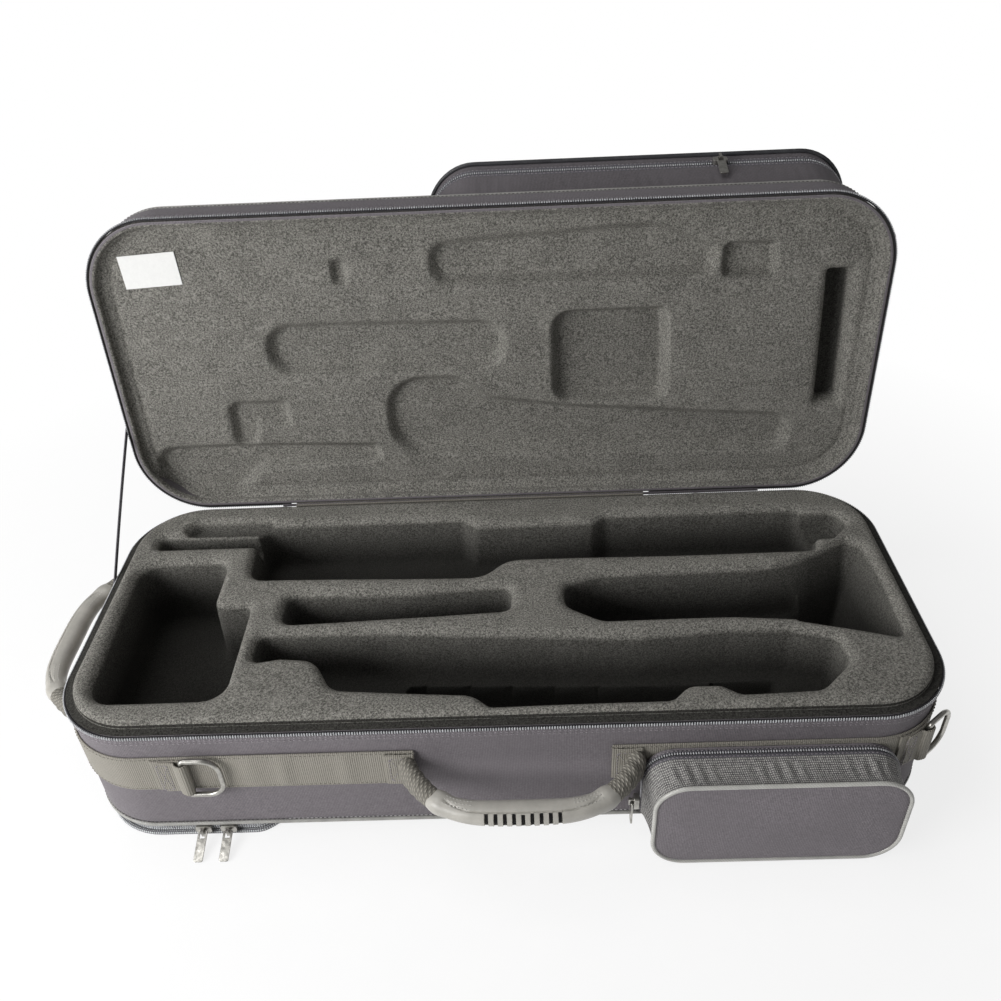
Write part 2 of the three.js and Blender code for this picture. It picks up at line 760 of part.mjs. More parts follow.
// A ring turning in a loop of webbing. The tail of the loop follows the path it
// is sewn to, and the bar of the ring stands at the end of that path.
function drawLoop(path, bar, wire, low, high, out) {
  const sleeve = wire + ringClearance;
  const outer = sleeve + webbingThickness;
  const barrel = new THREE.CylinderGeometry(outer, outer, high - low, loopSides);
  const bore = new THREE.CylinderGeometry(sleeve, sleeve, high - low + overrun, loopSides);
  [barrel, bore].forEach((shape) => {
    shape.rotateX(Math.PI / 2).translate(bar.x, bar.y, (low + high) / 2);
  });
  const tail = carry(path, boxSection(out, out + webbingThickness, low, high), false);
  return cut(join([barrel, tail]), [bore]);
}

function drawRing(wire, reach, height, corner) {
  const half = height / 2;
  const outline = roundedOutline([
    [0, -half, wire + ringClearance],
    [reach, -half, corner],
    [reach, half, corner],
    [0, half, wire + ringClearance],
  ], ringCornerSteps);
  return carry(outline, roundSection(0, 0, wire, wireSides));
}

// Places a shape drawn in x and y so that y stands up and x points along a wall.
function standUp(geometry, x, y, z, turn) {
  return geometry.rotateX(Math.PI / 2).rotateZ(turn).translate(x, y, z);
}

const loopOut = webbingOuter + seatGap;
const ringBarOut = loopOut + webbingThickness + ringClearance + ringWire + seatGap / 3;
const frontRingX = frontRingShare * halfLength;
const frontRingBar = new THREE.Vector2(frontRingX, -halfWidth - ringBarOut);
addPiece(clarinetCase, 'front_ring_loop', drawLoop(
  [new THREE.Vector2(frontRingX - ringLoopLength, -halfWidth), new THREE.Vector2(frontRingX, -halfWidth)],
  frontRingBar,
  ringWire,
  webbingMiddle - ringLoopHeight / 2,
  webbingMiddle + ringLoopHeight / 2,
  loopOut,
), paint.webbing);
addPiece(clarinetCase, 'front_ring', standUp(
  drawRing(ringWire, ringReach, ringHeight, ringCornerRadius),
  frontRingBar.x,
  frontRingBar.y,
  webbingMiddle,
  0,
), paint.metal);

const cornerCentre = new THREE.Vector2(halfLength - cornerRadius, -halfWidth + cornerRadius);

function cornerArm(angle, radius) {
  return new THREE.Vector2(Math.cos(angle), Math.sin(angle)).multiplyScalar(radius).add(cornerCentre);
}

function cornerTail(angle, length) {
  return Array.from({ length: edgeSteps + 1 }, (_, k) => {
    const back = (length / cornerRadius) * (1 - k / edgeSteps);
    return cornerArm(angle - back, cornerRadius);
  });
}

const sideRingBar = cornerArm(sideRingAngle, cornerRadius + ringBarOut);
addPiece(clarinetCase, 'side_ring_loop', drawLoop(
  cornerTail(sideRingAngle, ringLoopLength),
  sideRingBar,
  ringWire,
  webbingMiddle - ringLoopHeight / 2,
  webbingMiddle + ringLoopHeight / 2,
  loopOut,
), paint.webbing);
addPiece(clarinetCase, 'side_ring', standUp(
  drawRing(ringWire, ringReach, ringHeight, ringCornerRadius),
  sideRingBar.x,
  sideRingBar.y,
  webbingMiddle,
  sideRingAngle + Math.PI / 2 - sideRingSwing,
), paint.metal);

// Small ring on the right front corner of the lid
const lidBarOut = seatGap + webbingThickness + ringClearance + lidRingWire + seatGap / 3;
const lidRingZ = lidRimZ + lidHeight / 2;
const lidRingBar = cornerArm(lidRingAngle, cornerRadius + lidBarOut);
addPiece(lid, 'lid_ring_loop', drawLoop(
  cornerTail(lidRingAngle, lidRingLoopLength),
  lidRingBar,
  lidRingWire,
  lidRingZ - lidRingLoopHeight / 2,
  lidRingZ + lidRingLoopHeight / 2,
  seatGap,
), paint.webbing);
addPiece(lid, 'lid_ring', standUp(
  drawRing(lidRingWire, lidRingReach, lidRingHeight, lidRingCornerRadius),
  lidRingBar.x,
  lidRingBar.y,
  lidRingZ,
  lidRingAngle + Math.PI / 2,
), paint.metal);

// Carrying handles. The middle line bows out from the wall, and each station
// along it carries an oval section with its own width and thickness.
function handleCentre(share) {
  const bow = handleReach * (1 - Math.abs(share) ** handleBowPower);
  return new THREE.Vector2((share * handleSpan) / 2, bow);
}

function handleTube(from, to, stations, sizeAt) {
  const positions = [];
  const index = [];
  for (let i = 0; i <= stations; i += 1) {
    const share = THREE.MathUtils.lerp(from, to, i / stations);
    const centre = handleCentre(share);
    const ahead = handleCentre(share + slopeStep).sub(handleCentre(share - slopeStep)).normalize();
    const side = new THREE.Vector2(-ahead.y, ahead.x);
    const [halfAcross, halfUp] = sizeAt(share);
    for (let j = 0; j < handleSides; j += 1) {
      const angle = (2 * Math.PI * (j + 1 / 2)) / handleSides;
      const across = halfAcross * Math.cos(angle);
      const point = centre.clone().addScaledVector(side, across);
      positions.push(point.x, halfUp * Math.sin(angle), point.y);
    }
  }
  for (let i = 0; i < stations; i += 1) {
    for (let j = 0; j < handleSides; j += 1) {
      const a = i * handleSides + j;
      const b = i * handleSides + ((j + 1) % handleSides);
      index.push(a, b + handleSides, b, a, a + handleSides, b + handleSides);
    }
  }
  for (let j = 1; j < handleSides - 1; j += 1) {
    const end = stations * handleSides;
    index.push(0, j, j + 1, end, end + j + 1, end + j);
  }
  return meshFrom(positions, index);
}

const gripShare = gripLength / handleSpan;

function gripSize(share) {
  const swell = Math.sqrt(1 - (share / gripShare) ** 2 * (1 - gripNeckShare ** 2));
  return [(gripWidth / 2) * swell, (gripThickness / 2) * swell];
}

function strapSize(share) {
  const along = (1 - Math.abs(share)) / (1 - gripShare);
  return [
    THREE.MathUtils.lerp(strapRootWidth, strapTipWidth, along) / 2,
    THREE.MathUtils.lerp(strapRootThickness, strapTipThickness, along) / 2,
  ];
}

function gripShape() {
  const tube = handleTube(-gripShare, gripShare, gripStations, gripSize);
  const slots = Array.from({ length: gripSlotCount }, (_, k) => {
    const x = (k - (gripSlotCount - 1) / 2) * gripSlotPitch;
    const outer = handleCentre((2 * x) / handleSpan).y + gripWidth / 2;
    return block(
      x - gripSlotWidth / 2,
      x + gripSlotWidth / 2,
      -gripThickness * gripSlotHeightShare,
      gripThickness * gripSlotHeightShare,
      outer - gripSlotDepth,
      outer + overrun,
    );
  });
  return cut(tube, slots);
}

function addHandle(prefix, wall, middle, lastX) {
  const pivot = [middle, webbingMiddle, handlePivotOut];
  addPiece(wall, `${prefix}_handle_grip`, gripShape().translate(...pivot), paint.grip);
  [['left', -1], ['right', 1]].forEach(([side, sign]) => {
    const inner = sign * (gripShare + strapGapShare);
    const strap = sign < 0
      ? handleTube(-1, inner, strapStations, strapSize)
      : handleTube(inner, 1, strapStations, strapSize);
    addPiece(wall, `${prefix}_strap_${side}`, strap.translate(...pivot), paint.webbing);
    const x = middle + (sign * handleSpan) / 2;
    addPiece(wall, `${prefix}_patch_${side}`, block(
      x - handlePatchLength / 2,
      Math.min(x + handlePatchLength / 2, lastX),
      webbingMiddle - handlePatchHeight / 2,
      webbingMiddle + handlePatchHeight / 2,
      loopOut,
      loopOut + handlePatchThickness,
    ), paint.webbing);
  });
}

const pocketX = pocketCentreShare * halfLength;
addHandle('front', frontWall, frontHandleShare * halfLength, pocketX - pocketWidth / 2 - seatGap);
addHandle('side', leftWall, -sideHandleShare * halfWidth, halfWidth);

// Accessory pocket on the front wall, drawn with its outward depth along z.
const pocketBack = webbingOuter + seatGap;
const pocketFront = pocketDepth - pocketSkin;
const pocketOutline = rectangle(
  pocketX - pocketWidth / 2,
  pocketX + pocketWidth / 2,
  pocketFoot,
  pocketFoot + pocketHeight,
  pocketRadius,
);
const pocketShoulder = pocketFoot + pocketRadius + seatGap / 3;
const pocketUpper = [
  new THREE.Vector2(pocketX + pocketWidth / 2, pocketShoulder + seatGap),
  ...stretchOf(pocketOutline, (p) => p.y > pocketShoulder),
  new THREE.Vector2(pocketX - pocketWidth / 2, pocketShoulder + seatGap),
];
const pocketLower = stretchOf(pocketOutline, (p) => p.y < pocketShoulder);
addPiece(frontWall, 'accessory_pocket_backing', plate(
  pocketOutline,
  pocketBack,
  pocketBack + pocketSkin,
), paint.shell);
const pocketZipStart = pocketBack + pocketSkin + seatGap;
addPiece(frontWall, 'accessory_pocket_bottom_gusset', carry(
  pocketLower,
  boxSection(-pocketSkin, 0, pocketZipStart, pocketFront - seatGap),
  false,
), paint.shell);
const pocketTeethStart = pocketZipReach / 2;
addPiece(frontWall, 'accessory_pocket_zip', carry(pocketUpper, [
  [-tapeThickness, pocketZipStart], [0, pocketZipStart], [0, pocketTeethStart],
  [toothBeadReach - tapeThickness, pocketTeethStart],
  [toothBeadReach - tapeThickness, pocketTeethStart + toothBeadHeight],
  [0, pocketTeethStart + toothBeadHeight], [0, pocketZipReach], [-tapeThickness, pocketZipReach],
], false), paint.zip);
addPiece(frontWall, 'accessory_pocket_gusset', carry(
  pocketUpper,
  boxSection(-pocketSkin, 0, pocketZipReach + seatGap, pocketFront - seatGap),
  false,
), paint.shell);
addPiece(frontWall, 'accessory_pocket_panel', plate(pocketOutline, pocketFront, pocketDepth), paint.shell);
addPiece(frontWall, 'accessory_pocket_piping', carry(
  pocketOutline,
  roundSection(seatGap + pipingRadius, pocketFront + pocketSkin / 2, pipingRadius, cordSides),
), paint.piping);

// Document pocket on the outside of the lid. Its front side leans out past the
// front edge of the lid as it rises.
const lidPocketX = lidPocketCentreShare * halfLength;
const lidPocketFrontY = -halfWidth + lidPocketFrontInset;
const lidPocketBackY = lidPocketFrontY + lidPocketLength;
const lidPocketOutline = rectangle(
  lidPocketX - lidPocketWidth / 2,
  lidPocketX + lidPocketWidth / 2,
  lidPocketFrontY,
  lidPocketBackY,
  lidPocketRadius,
);

function leaning(points, height) {
  const lean = (lidPocketRise * height) / lidPocketDepth;
  return points.map((p) => new THREE.Vector2(p.x, p.y - (lean * (lidPocketBackY - p.y)) / lidPocketLength));
}

const lidPocketTurn = lidPocketBackY - lidPocketRadius - seatGap / 3;
const lidPocketSides = [
  new THREE.Vector2(lidPocketX - lidPocketWidth / 2, lidPocketTurn - seatGap),
  ...stretchOf(lidPocketOutline, (p) => p.y < lidPocketTurn),
  new THREE.Vector2(lidPocketX + lidPocketWidth / 2, lidPocketTurn - seatGap),
];
const lidPocketHinge = stretchOf(lidPocketOutline, (p) => p.y > lidPocketTurn);

function lidPocketWall(points, from, to, thickness) {
  const base = lidTopZ;
  return leaningWall(leaning(points, from), leaning(points, to), thickness, base + from, base + to);
}

const lidPocketZipFrom = lidPocketDepth * lidPocketZipShare;
const lidPocketZipTo = lidPocketZipFrom + pocketZipReach;
const lidPocketPanelFrom = lidPocketDepth - pocketSkin;
addPiece(lid, 'lid_pocket_backing', plate(
  lidPocketOutline,
  lidTopZ + seatGap,
  lidTopZ + seatGap + pocketSkin,
), paint.shell);
addPiece(lid, 'lid_pocket_gusset', lidPocketWall(
  lidPocketSides,
  pocketSkin + 2 * seatGap,
  lidPocketZipFrom,
  pocketSkin,
), paint.shell);
addPiece(lid, 'lid_pocket_hinge_gusset', lidPocketWall(
  lidPocketHinge,
  pocketSkin + 2 * seatGap,
  lidPocketPanelFrom - seatGap,
  pocketSkin,
), paint.shell);
addPiece(lid, 'lid_pocket_zip', lidPocketWall(
  lidPocketSides,
  lidPocketZipFrom + seatGap,
  lidPocketZipTo,
  tapeThickness,
), paint.zip);
addPiece(lid, 'lid_pocket_rim', lidPocketWall(
  lidPocketSides,
  lidPocketZipTo + seatGap,
  lidPocketPanelFrom - seatGap,
  pocketSkin,
), paint.shell);
const lidPocketPanelOutline = leaning(lidPocketOutline, lidPocketDepth);
addPiece(lid, 'lid_pocket_panel', plate(
  lidPocketPanelOutline,
  lidTopZ + lidPocketPanelFrom,
  lidTopZ + lidPocketDepth,
), paint.shell);
addPiece(lid, 'lid_pocket_piping', carry(
  lidPocketPanelOutline,
  roundSection(seatGap + pipingRadius, lidTopZ + lidPocketDepth - pocketSkin / 2, pipingRadius, cordSides),
), paint.piping);

// A zip slider drawn with z outwards and its arch across y. Its plate lies
// across the arch, or along it where the zip itself runs along y.
const archTop = sliderThickness + archClear + archBar;
const tabPivotOut = sliderThickness + archClear / 2;

function sliderShape(alongArch) {
  const halfX = (alongArch ? sliderWidth : sliderLength) / 2;
  const halfY = (alongArch ? sliderLength : sliderWidth) / 2;
  const outline = rectangle(-halfX, halfX, -halfY, halfY, sliderCornerRadius, edgeSteps);
  const body = plate(outline, 0, sliderThickness);
  const arch = block(-archWidth / 2, archWidth / 2, -archLength / 2, archLength / 2, 0, archTop);
  const opening = block(
    -archWidth,
    archWidth,
    -archLength / 2 + archBar,
    archLength / 2 - archBar,
    sliderThickness,
    sliderThickness + archClear,
  );
  return join([body, cut(arch, [opening])]);
}

// The pull tab starts at its bar inside the arch and reaches down along y.
function tabShape() {
  const outline = rectangle(
    -tabWidth / 2,
    tabWidth / 2,
    tabEndBar / 2 - tabLength,
    tabEndBar / 2,
    tabEndBar,
    edgeSteps,
  );
  const eye = block(
    -tabEyeWidth / 2,
    tabEyeWidth / 2,
    -tabEndBar / 2 - tabEyeLength,
    -tabEndBar / 2,
    -tabThickness,
    tabThickness,
  );
  return cut(plate(outline, -tabThickness / 2, tabThickness / 2), [eye]);
}

function addZipPull(name, frame, place, facing, tabSwing, alongArch = false) {
  const seat = new THREE.Group();
  seat.position.set(...place);
  seat.rotation.set(...facing);
  frame.add(seat);
  addPiece(seat, `${name}_slider`, sliderShape(alongArch), paint.metal);
  const swing = new THREE.Group();
  swing.position.z = tabPivotOut;
  swing.rotation.x = -tabSwing;
  seat.add(swing);
  addPiece(swing, `${name}_tab`, tabShape(), paint.metal);
}

const sides = ['left', 'right'];
strapSliderShares.forEach((share, i) => {
  const place = [share * halfLength, strapSliderZ, seatGap - strapFrontInset];
  addZipPull(`strap_zip_${sides[i]}`, frontWall, place, [0, 0, 0], strapTabSwing);
});

const pocketToothOut = toothBeadReach - tapeThickness + seatGap;
addZipPull('accessory_zip', frontWall, [
  pocketX - pocketWidth / 2 - pocketToothOut,
  accessorySliderZ,
  pocketTeethStart + toothBeadHeight / 2,
], [0, -Math.PI / 2, 0], 0, true);

const backWall = wallFrame(clarinetCase, 0, halfWidth, Math.PI);
mainSliderShares.forEach((share, i) => {
  const place = [-share * halfLength, rimZ - toothBeadHeight - sliderWidth / 2 - seatGap, tapeOut + seatGap];
  addZipPull(`main_zip_${sides[i]}`, backWall, place, [0, 0, 0], 0);
});

const lidPocketFront = wallFrame(lid, 0, lidPocketFrontY, 0);
const lidPocketLean = Math.atan(lidPocketRise / lidPocketDepth);
const lidPocketSliderHeight = (lidPocketZipFrom + lidPocketZipTo) / 2;
addZipPull('lid_pocket_zip', lidPocketFront, [
  lidPocketSliderShare * halfLength,
  lidTopZ + lidPocketSliderHeight,
  lidPocketSliderHeight * (lidPocketRise / lidPocketDepth) + seatGap / Math.cos(lidPocketLean),
], [lidPocketLean, 0, 0], lidPocketTabSwing);

// Bare label on the flat of the lid liner
const label = new THREE.BoxGeometry(labelWidth, labelHeight, labelThickness).rotateZ(labelTurn);
label.translate(labelShareX * halfLength, labelReach - halfWidth, lidFaceZ - seatGap - labelThickness / 2);
addPiece(lid, 'label_plate', label, paint.label);

// A ribbon at the left end keeps the lid from falling back. It runs straight
// from a tab on the base to a tab on the lid.
const stayBaseY = stayShare * halfWidth;
const stayBaseZ = rimZ - tapeHeight - seatGap - stayTabSize / 2;
const stayLidY = halfWidth - stayLidReach;
const stayLidZ = lidRimZ + tapeHeight + seatGap + stayTabSize / 2;

function stayTab(y, z) {
  return block(
    -halfLength - seatGap - stayTabThickness,
    -halfLength - seatGap,
    y - stayTabSize / 2,
    y + stayTabSize / 2,
    z - stayTabSize / 2,
    z + stayTabSize / 2,
  );
}

addPiece(clarinetCase, 'lid_stay_base_tab', stayTab(stayBaseY, stayBaseZ), paint.webbing);
addPiece(lid, 'lid_stay_lid_tab', stayTab(stayLidY, stayLidZ), paint.webbing);
clarinetCase.updateMatrixWorld(true);
const stayStart = new THREE.Vector3(0, stayBaseY, stayBaseZ);
const stayEnd = new THREE.Vector3(0, stayLidY, stayLidZ).applyMatrix4(lid.matrixWorld);
const stayRun = stayEnd.clone().sub(stayStart);
const stay = new THREE.BoxGeometry(stayThickness, stayRun.length(), stayWidth);
stay.rotateX(Math.atan2(stayRun.z, stayRun.y));
stay.translate(
  -halfLength - 2 * seatGap - stayTabThickness - stayThickness / 2,
  (stayStart.y + stayEnd.y) / 2,
  (stayStart.z + stayEnd.z) / 2,
);
addPiece(clarinetCase, 'lid_stay', stay, paint.webbing);

export default clarinetCase;
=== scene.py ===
"""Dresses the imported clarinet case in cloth, plush, webbing, zips, piping and metal, and sets its stage."""

import json
import math

import bmesh
import bpy
import numpy as np
from bpy.props import FloatProperty, FloatVectorProperty, PointerProperty
from mathutils import Matrix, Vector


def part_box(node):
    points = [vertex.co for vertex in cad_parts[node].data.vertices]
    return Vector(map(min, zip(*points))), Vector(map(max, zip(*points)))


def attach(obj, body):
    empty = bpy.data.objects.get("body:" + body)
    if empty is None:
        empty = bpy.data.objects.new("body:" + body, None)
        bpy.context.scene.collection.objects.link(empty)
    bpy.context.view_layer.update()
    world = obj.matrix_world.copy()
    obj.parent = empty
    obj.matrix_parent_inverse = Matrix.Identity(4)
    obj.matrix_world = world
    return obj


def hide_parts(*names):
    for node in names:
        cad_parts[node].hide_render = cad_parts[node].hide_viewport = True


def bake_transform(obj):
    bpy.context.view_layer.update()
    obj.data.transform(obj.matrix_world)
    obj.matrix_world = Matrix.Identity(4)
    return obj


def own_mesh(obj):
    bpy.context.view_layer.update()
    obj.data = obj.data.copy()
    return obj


bl_info = {
    "name": "Clarinet Case",
    "version": (1, 0, 0),
    "blender": (4, 5, 0),
    "location": "3D View > Sidebar > Case",
    "description": "Builds the cloth, plush and trim of an open clarinet case",
    "category": "Object",
}

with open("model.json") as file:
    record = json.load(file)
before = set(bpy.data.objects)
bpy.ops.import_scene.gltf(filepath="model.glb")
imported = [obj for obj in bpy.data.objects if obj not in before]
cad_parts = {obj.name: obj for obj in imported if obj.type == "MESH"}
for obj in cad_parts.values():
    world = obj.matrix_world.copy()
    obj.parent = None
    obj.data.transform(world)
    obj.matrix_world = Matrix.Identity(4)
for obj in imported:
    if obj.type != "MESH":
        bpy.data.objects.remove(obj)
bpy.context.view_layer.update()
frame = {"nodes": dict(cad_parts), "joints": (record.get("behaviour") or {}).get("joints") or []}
MM = 0.001
TURN = 2 * math.pi


def box_mm(node):
    """The lowest and highest corner of a node of the frame, in millimetres."""
    return [np.array(corner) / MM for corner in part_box(node)]


def joint_mm(name):
    """The point that a joint of the frame turns about, in millimetres."""
    return next(np.array(joint["pos_m"]) / MM for joint in frame["joints"] if joint["name"] == name)


# Places that come from the frame
SHELL_LOW, SHELL_HIGH = box_mm("base_shell")
HALF_LENGTH, HALF_WIDTH, RIM_Z = SHELL_HIGH
FOOT_Z = SHELL_LOW[2]
LIP_Z = box_mm("base_liner")[1][2]
HINGE_Y, HINGE_Z = joint_mm("lid_hinge")[1:]
LID_RIM_Z = RIM_Z + 0.6
LID_TOP_Z = LID_RIM_Z + 50
LID_FACE_Z = LID_RIM_Z + 10
WEB_LOW, WEB_HIGH = box_mm("webbing_band")
WEB_LOW_Z, WEB_HIGH_Z = WEB_LOW[2], WEB_HIGH[2]
WEB_MIDDLE = (WEB_LOW_Z + WEB_HIGH_Z) / 2

# How many points are spread along an outline of the case, and the steps of the arc in each of its corners
OUTLINE_COUNT = 900
CORNER_STEPS = 24
CORNER_POINTS = CORNER_STEPS + 1
PLUSH_INSET = 6.3

# The widest angle between two faces that still look smooth, in a piece with no creases at all
SMOOTH = 180


# ---- Lines ------------------------------------------------------------------

def rounded_corners(corners, steps=8):
    """A closed line through [x, y, radius] corners, each replaced by an arc that meets its two sides."""
    corners = np.array(corners, float)
    line = []
    for i, (x, y, radius) in enumerate(corners):
        back = corners[i - 1, :2] - (x, y)
        ahead = corners[(i + 1) % len(corners), :2] - (x, y)
        longest = 0.48 * min(np.linalg.norm(back), np.linalg.norm(ahead))
        back, ahead = back / np.linalg.norm(back), ahead / np.linalg.norm(ahead)
        half = math.acos(np.clip(back @ ahead, -1, 1)) / 2
        run = min(radius / math.tan(half), longest)
        middle = (back + ahead) / np.linalg.norm(back + ahead)
        centre = np.array([x, y]) + middle * run / math.cos(half)
        first, last = np.array([x, y]) + back * run - centre, np.array([x, y]) + ahead * run - centre
        start = math.atan2(first[1], first[0])
        sweep = math.remainder(math.atan2(last[1], last[0]) - start, TURN)
        angles = start + sweep * np.linspace(0, 1, steps + 1)
        line.append(centre + run * math.tan(half) * np.stack([np.cos(angles), np.sin(angles)], 1))
    return np.concatenate(line)


def rectangle(left, right, low, high, radius, steps=12):
    """A rounded rectangle, walked anticlockwise."""
    corners = [[left, low, radius], [right, low, radius], [right, high, radius], [left, high, radius]]
    return rounded_corners(corners, steps)


def walk(line, count, closed=True):
    """Evenly spaced points of a flat line, and the unit normals on the right of the walk."""
    line = np.asarray(line, float)
    if closed:
        line = np.vstack([line, line[:1]])
    steps = np.linalg.norm(np.diff(line, axis=0), axis=1)
    line = line[np.concatenate([[True], steps > 1e-6])]
    distance = np.concatenate([[0], np.cumsum(steps[steps > 1e-6])])
    at = np.linspace(0, distance[-1], count, endpoint=not closed)
    points = np.stack([np.interp(at, distance, line[:, k]) for k in range(2)], 1)
    slopes = np.diff(line, axis=0) / np.diff(distance)[:, None]
    middles = (distance[1:] + distance[:-1]) / 2
    if closed:
        slopes = np.vstack([slopes[-1:], slopes, slopes[:1]])
        middles = np.concatenate([middles[-1:] - distance[-1], middles, middles[:1] + distance[-1]])
    slope = np.stack([np.interp(at, middles, slopes[:, k]) for k in range(2)], 1)
    slope /= np.linalg.norm(slope, axis=1)[:, None]
    return points, np.stack([slope[:, 1], -slope[:, 0]], 1)


def length_of(line, closed=True):
    """The length of a line of points."""
    line = np.asarray(line, float)
    if closed:
        line = np.concatenate([line, line[:1]])
    return np.linalg.norm(np.diff(line, axis=0), axis=1).sum()


def size_mm(name):
    """One of the case's sizes, in millimetres."""
    return getattr(bpy.context.scene.case_sizes, name) / MM


def case_line():
    """The plan outline of the case, from the front left corner round the front."""
    return rectangle(-HALF_LENGTH, HALF_LENGTH, -HALF_WIDTH, HALF_WIDTH, size_mm("corner_radius"), CORNER_STEPS)


def front_line(left, right):
    """The outline from x = left on the back wall, round the front, to x = right on the back wall."""
    line = np.roll(case_line(), CORNER_POINTS, 0)
    return np.vstack([[left, HALF_WIDTH], line, [right, HALF_WIDTH]])


def smooth_line(points, count):
    """An even walk along a smooth curve through a few points of any dimension."""
    points = np.asarray(points, float)
    padded = np.vstack([2 * points[0] - points[1], points, 2 * points[-1] - points[-2]])
    t = np.linspace(0, 1, 24, endpoint=False)[:, None]
    spans = []
    for a, b, c, d in zip(padded, padded[1:], padded[2:], padded[3:]):
        bend, twist = 2 * a - 5 * b + 4 * c - d, 3 * b - a - 3 * c + d
        spans.append(0.5 * (2 * b + (c - a) * t + bend * t**2 + twist * t**3))
    curve = np.vstack(spans + [points[-1:]])
    distance = np.concatenate([[0], np.cumsum(np.linalg.norm(np.diff(curve, axis=0), axis=1))])
    at = np.linspace(0, distance[-1], count)
    return np.stack([np.interp(at, distance, curve[:, k]) for k in range(points.shape[1])], 1)


# ---- Frames -----------------------------------------------------------------

def open_lid(points):
    """Points drawn for the shut lid, turned back about the hinge line to the open lid."""
    angle = bpy.context.scene.case_sizes.lid_angle
    moved = np.array(points, float)
    y, z = moved[..., 1] - HINGE_Y, moved[..., 2] - HINGE_Z
    moved[..., 1] = HINGE_Y + y * math.cos(angle) + z * math.sin(angle)
    moved[..., 2] = HINGE_Z - y * math.sin(angle) + z * math.cos(angle)
    return moved


def on_front(points):
    """Points of [along, up, out] on the front wall."""
    along, up, out = np.moveaxis(np.asarray(points, float), -1, 0)
    return np.stack([along, -HALF_WIDTH - out, up], -1)


def on_left(points):
    """Points of [along, up, out] on the left wall."""
    along, up, out = np.moveaxis(np.asarray(points, float), -1, 0)
    return np.stack([-HALF_LENGTH - out, -along, up], -1)


def as_drawn(points):
    """Points that already stand where they belong."""
    return np.asarray(points, float)


# ---- Blocks: [points, lists of faces, lists of corner UVs] -------------------

def net(points, round_rows=False, round_cols=False):
    """Faces over a (rows, cols, 3) net of points, with UVs of the distance walked along it in metres."""
    points = np.asarray(points, float)
    rows, cols = points.shape[:2]
    full = np.concatenate([points, points[:1]], 0) if round_rows else points
    full = np.concatenate([full, full[:, :1]], 1) if round_cols else full
    along = [
        np.concatenate([[0], np.cumsum(np.linalg.norm(np.diff(full, axis=axis), axis=2).mean(axis=1 - axis))]) * MM
        for axis in (0, 1)
    ]
    i, j = np.arange(full.shape[0] - 1)[:, None], np.arange(full.shape[1] - 1)[None]
    corners = [(i, j), (i, j + 1), (i + 1, j + 1), (i + 1, j)]
    faces = np.stack([(a % rows) * cols + b % cols for a, b in corners], -1).reshape(-1, 4)
    uvs = np.stack([np.stack(np.broadcast_arrays(along[1][b], along[0][a]), -1) for a, b in corners], -2)
    return [points.reshape(-1, 3), [faces], [uvs.reshape(-1, 4, 2)]]


def capped(points):
    """A net that is round along its columns and closed by a flat face at its first and last ring.

    The UVs of a closing face are its two widest directions, in metres.
    """
    block = net(points, round_cols=True)
    rows, cols = np.asarray(points).shape[:2]
    ring = np.arange(cols)
    for face in (ring[::-1], (rows - 1) * cols + ring):
        corners = block[0][face]
        block[1].append(face[None])
        block[2].append(corners[None][..., np.sort(np.argsort(np.ptp(corners, 0))[1:])] * MM)
    return block


def shift(block, place):
    """The same block with its points put through a frame."""
    return [place(block[0]), block[1], block[2]]


def carried(line, profile, count, closed=True, place=as_drawn):
    """A closed profile of [out, z] points carried along a flat line: point = line + out * normal, at height z."""
    points, normals = walk(line, count, closed)
    profile = np.asarray(profile, float)
    flat = points[None] + profile[:, 0, None, None] * normals[None]
    height = np.broadcast_to(profile[:, 1, None, None], flat.shape[:2] + (1,))
    rings = place(np.concatenate([flat, height], 2))
    return net(rings, True, True) if closed else capped(rings.transpose(1, 0, 2))


def circle(out, z, radius, sides=10):
    """A round profile."""
    angle = TURN * np.arange(sides) / sides
    return np.stack([out + radius * np.cos(angle), z + radius * np.sin(angle)], 1)


def soft_box(inner, outer, low, high, soft=0.5):
    """A boxy profile with its corners taken off and a point in the middle of each long side."""
    middle = (low + high) / 2
    return [
        [inner, low + soft], [inner + soft, low], [outer - soft, low], [outer, low + soft], [outer, middle],
        [outer, high - soft], [outer - soft, high], [inner + soft, high], [inner, high - soft], [inner, middle],
    ]


def directions(path, up, closed=False):
    """Unit vectors ahead, to the side and up for each point of a path; side = ahead x up."""
    ahead = np.roll(path, -1, 0) - np.roll(path, 1, 0) if closed else np.gradient(path, axis=0)
    ahead /= np.linalg.norm(ahead, axis=1)[:, None]
    side = np.cross(ahead, np.broadcast_to(np.asarray(up, float), path.shape))
    side /= np.linalg.norm(side, axis=1)[:, None]
    return ahead, side, np.cross(side, ahead)


def swept(path, section, up=(0, 0, 1), closed=False):
    """A section of [side, up] points, one or one for each point of the path, carried along it."""
    path, section = np.asarray(path, float), np.asarray(section, float)
    _, side, lift = directions(path, up, closed)
    section = np.broadcast_to(section, (len(path),) + section.shape[-2:])
    rings = path[:, None] + section[..., :1] * side[:, None] + section[..., 1:] * lift[:, None]
    return net(rings, True, True) if closed else capped(rings)


def tube(path, radius, sides=8, up=(0, 0, 1), closed=False):
    """A round tube along a path."""
    return swept(path, circle(0, 0, radius, sides), up, closed)


def ribbon(path, across, width, thickness):
    """Webbing along a path, its width along the vector across and its thickness square to that."""
    half, thick = width / 2, thickness / 2
    wave = [-0.97, -1, -0.97, -0.5, 0, 0.5, 0.97, 1, 0.97, 0.5, 0, -0.5]
    side = [-1, 0, 1, 1, 1, 1, 1, 0, -1, -1, -1, -1]
    return swept(path, np.stack([thick * np.array(side), half * np.array(wave)], 1), across)


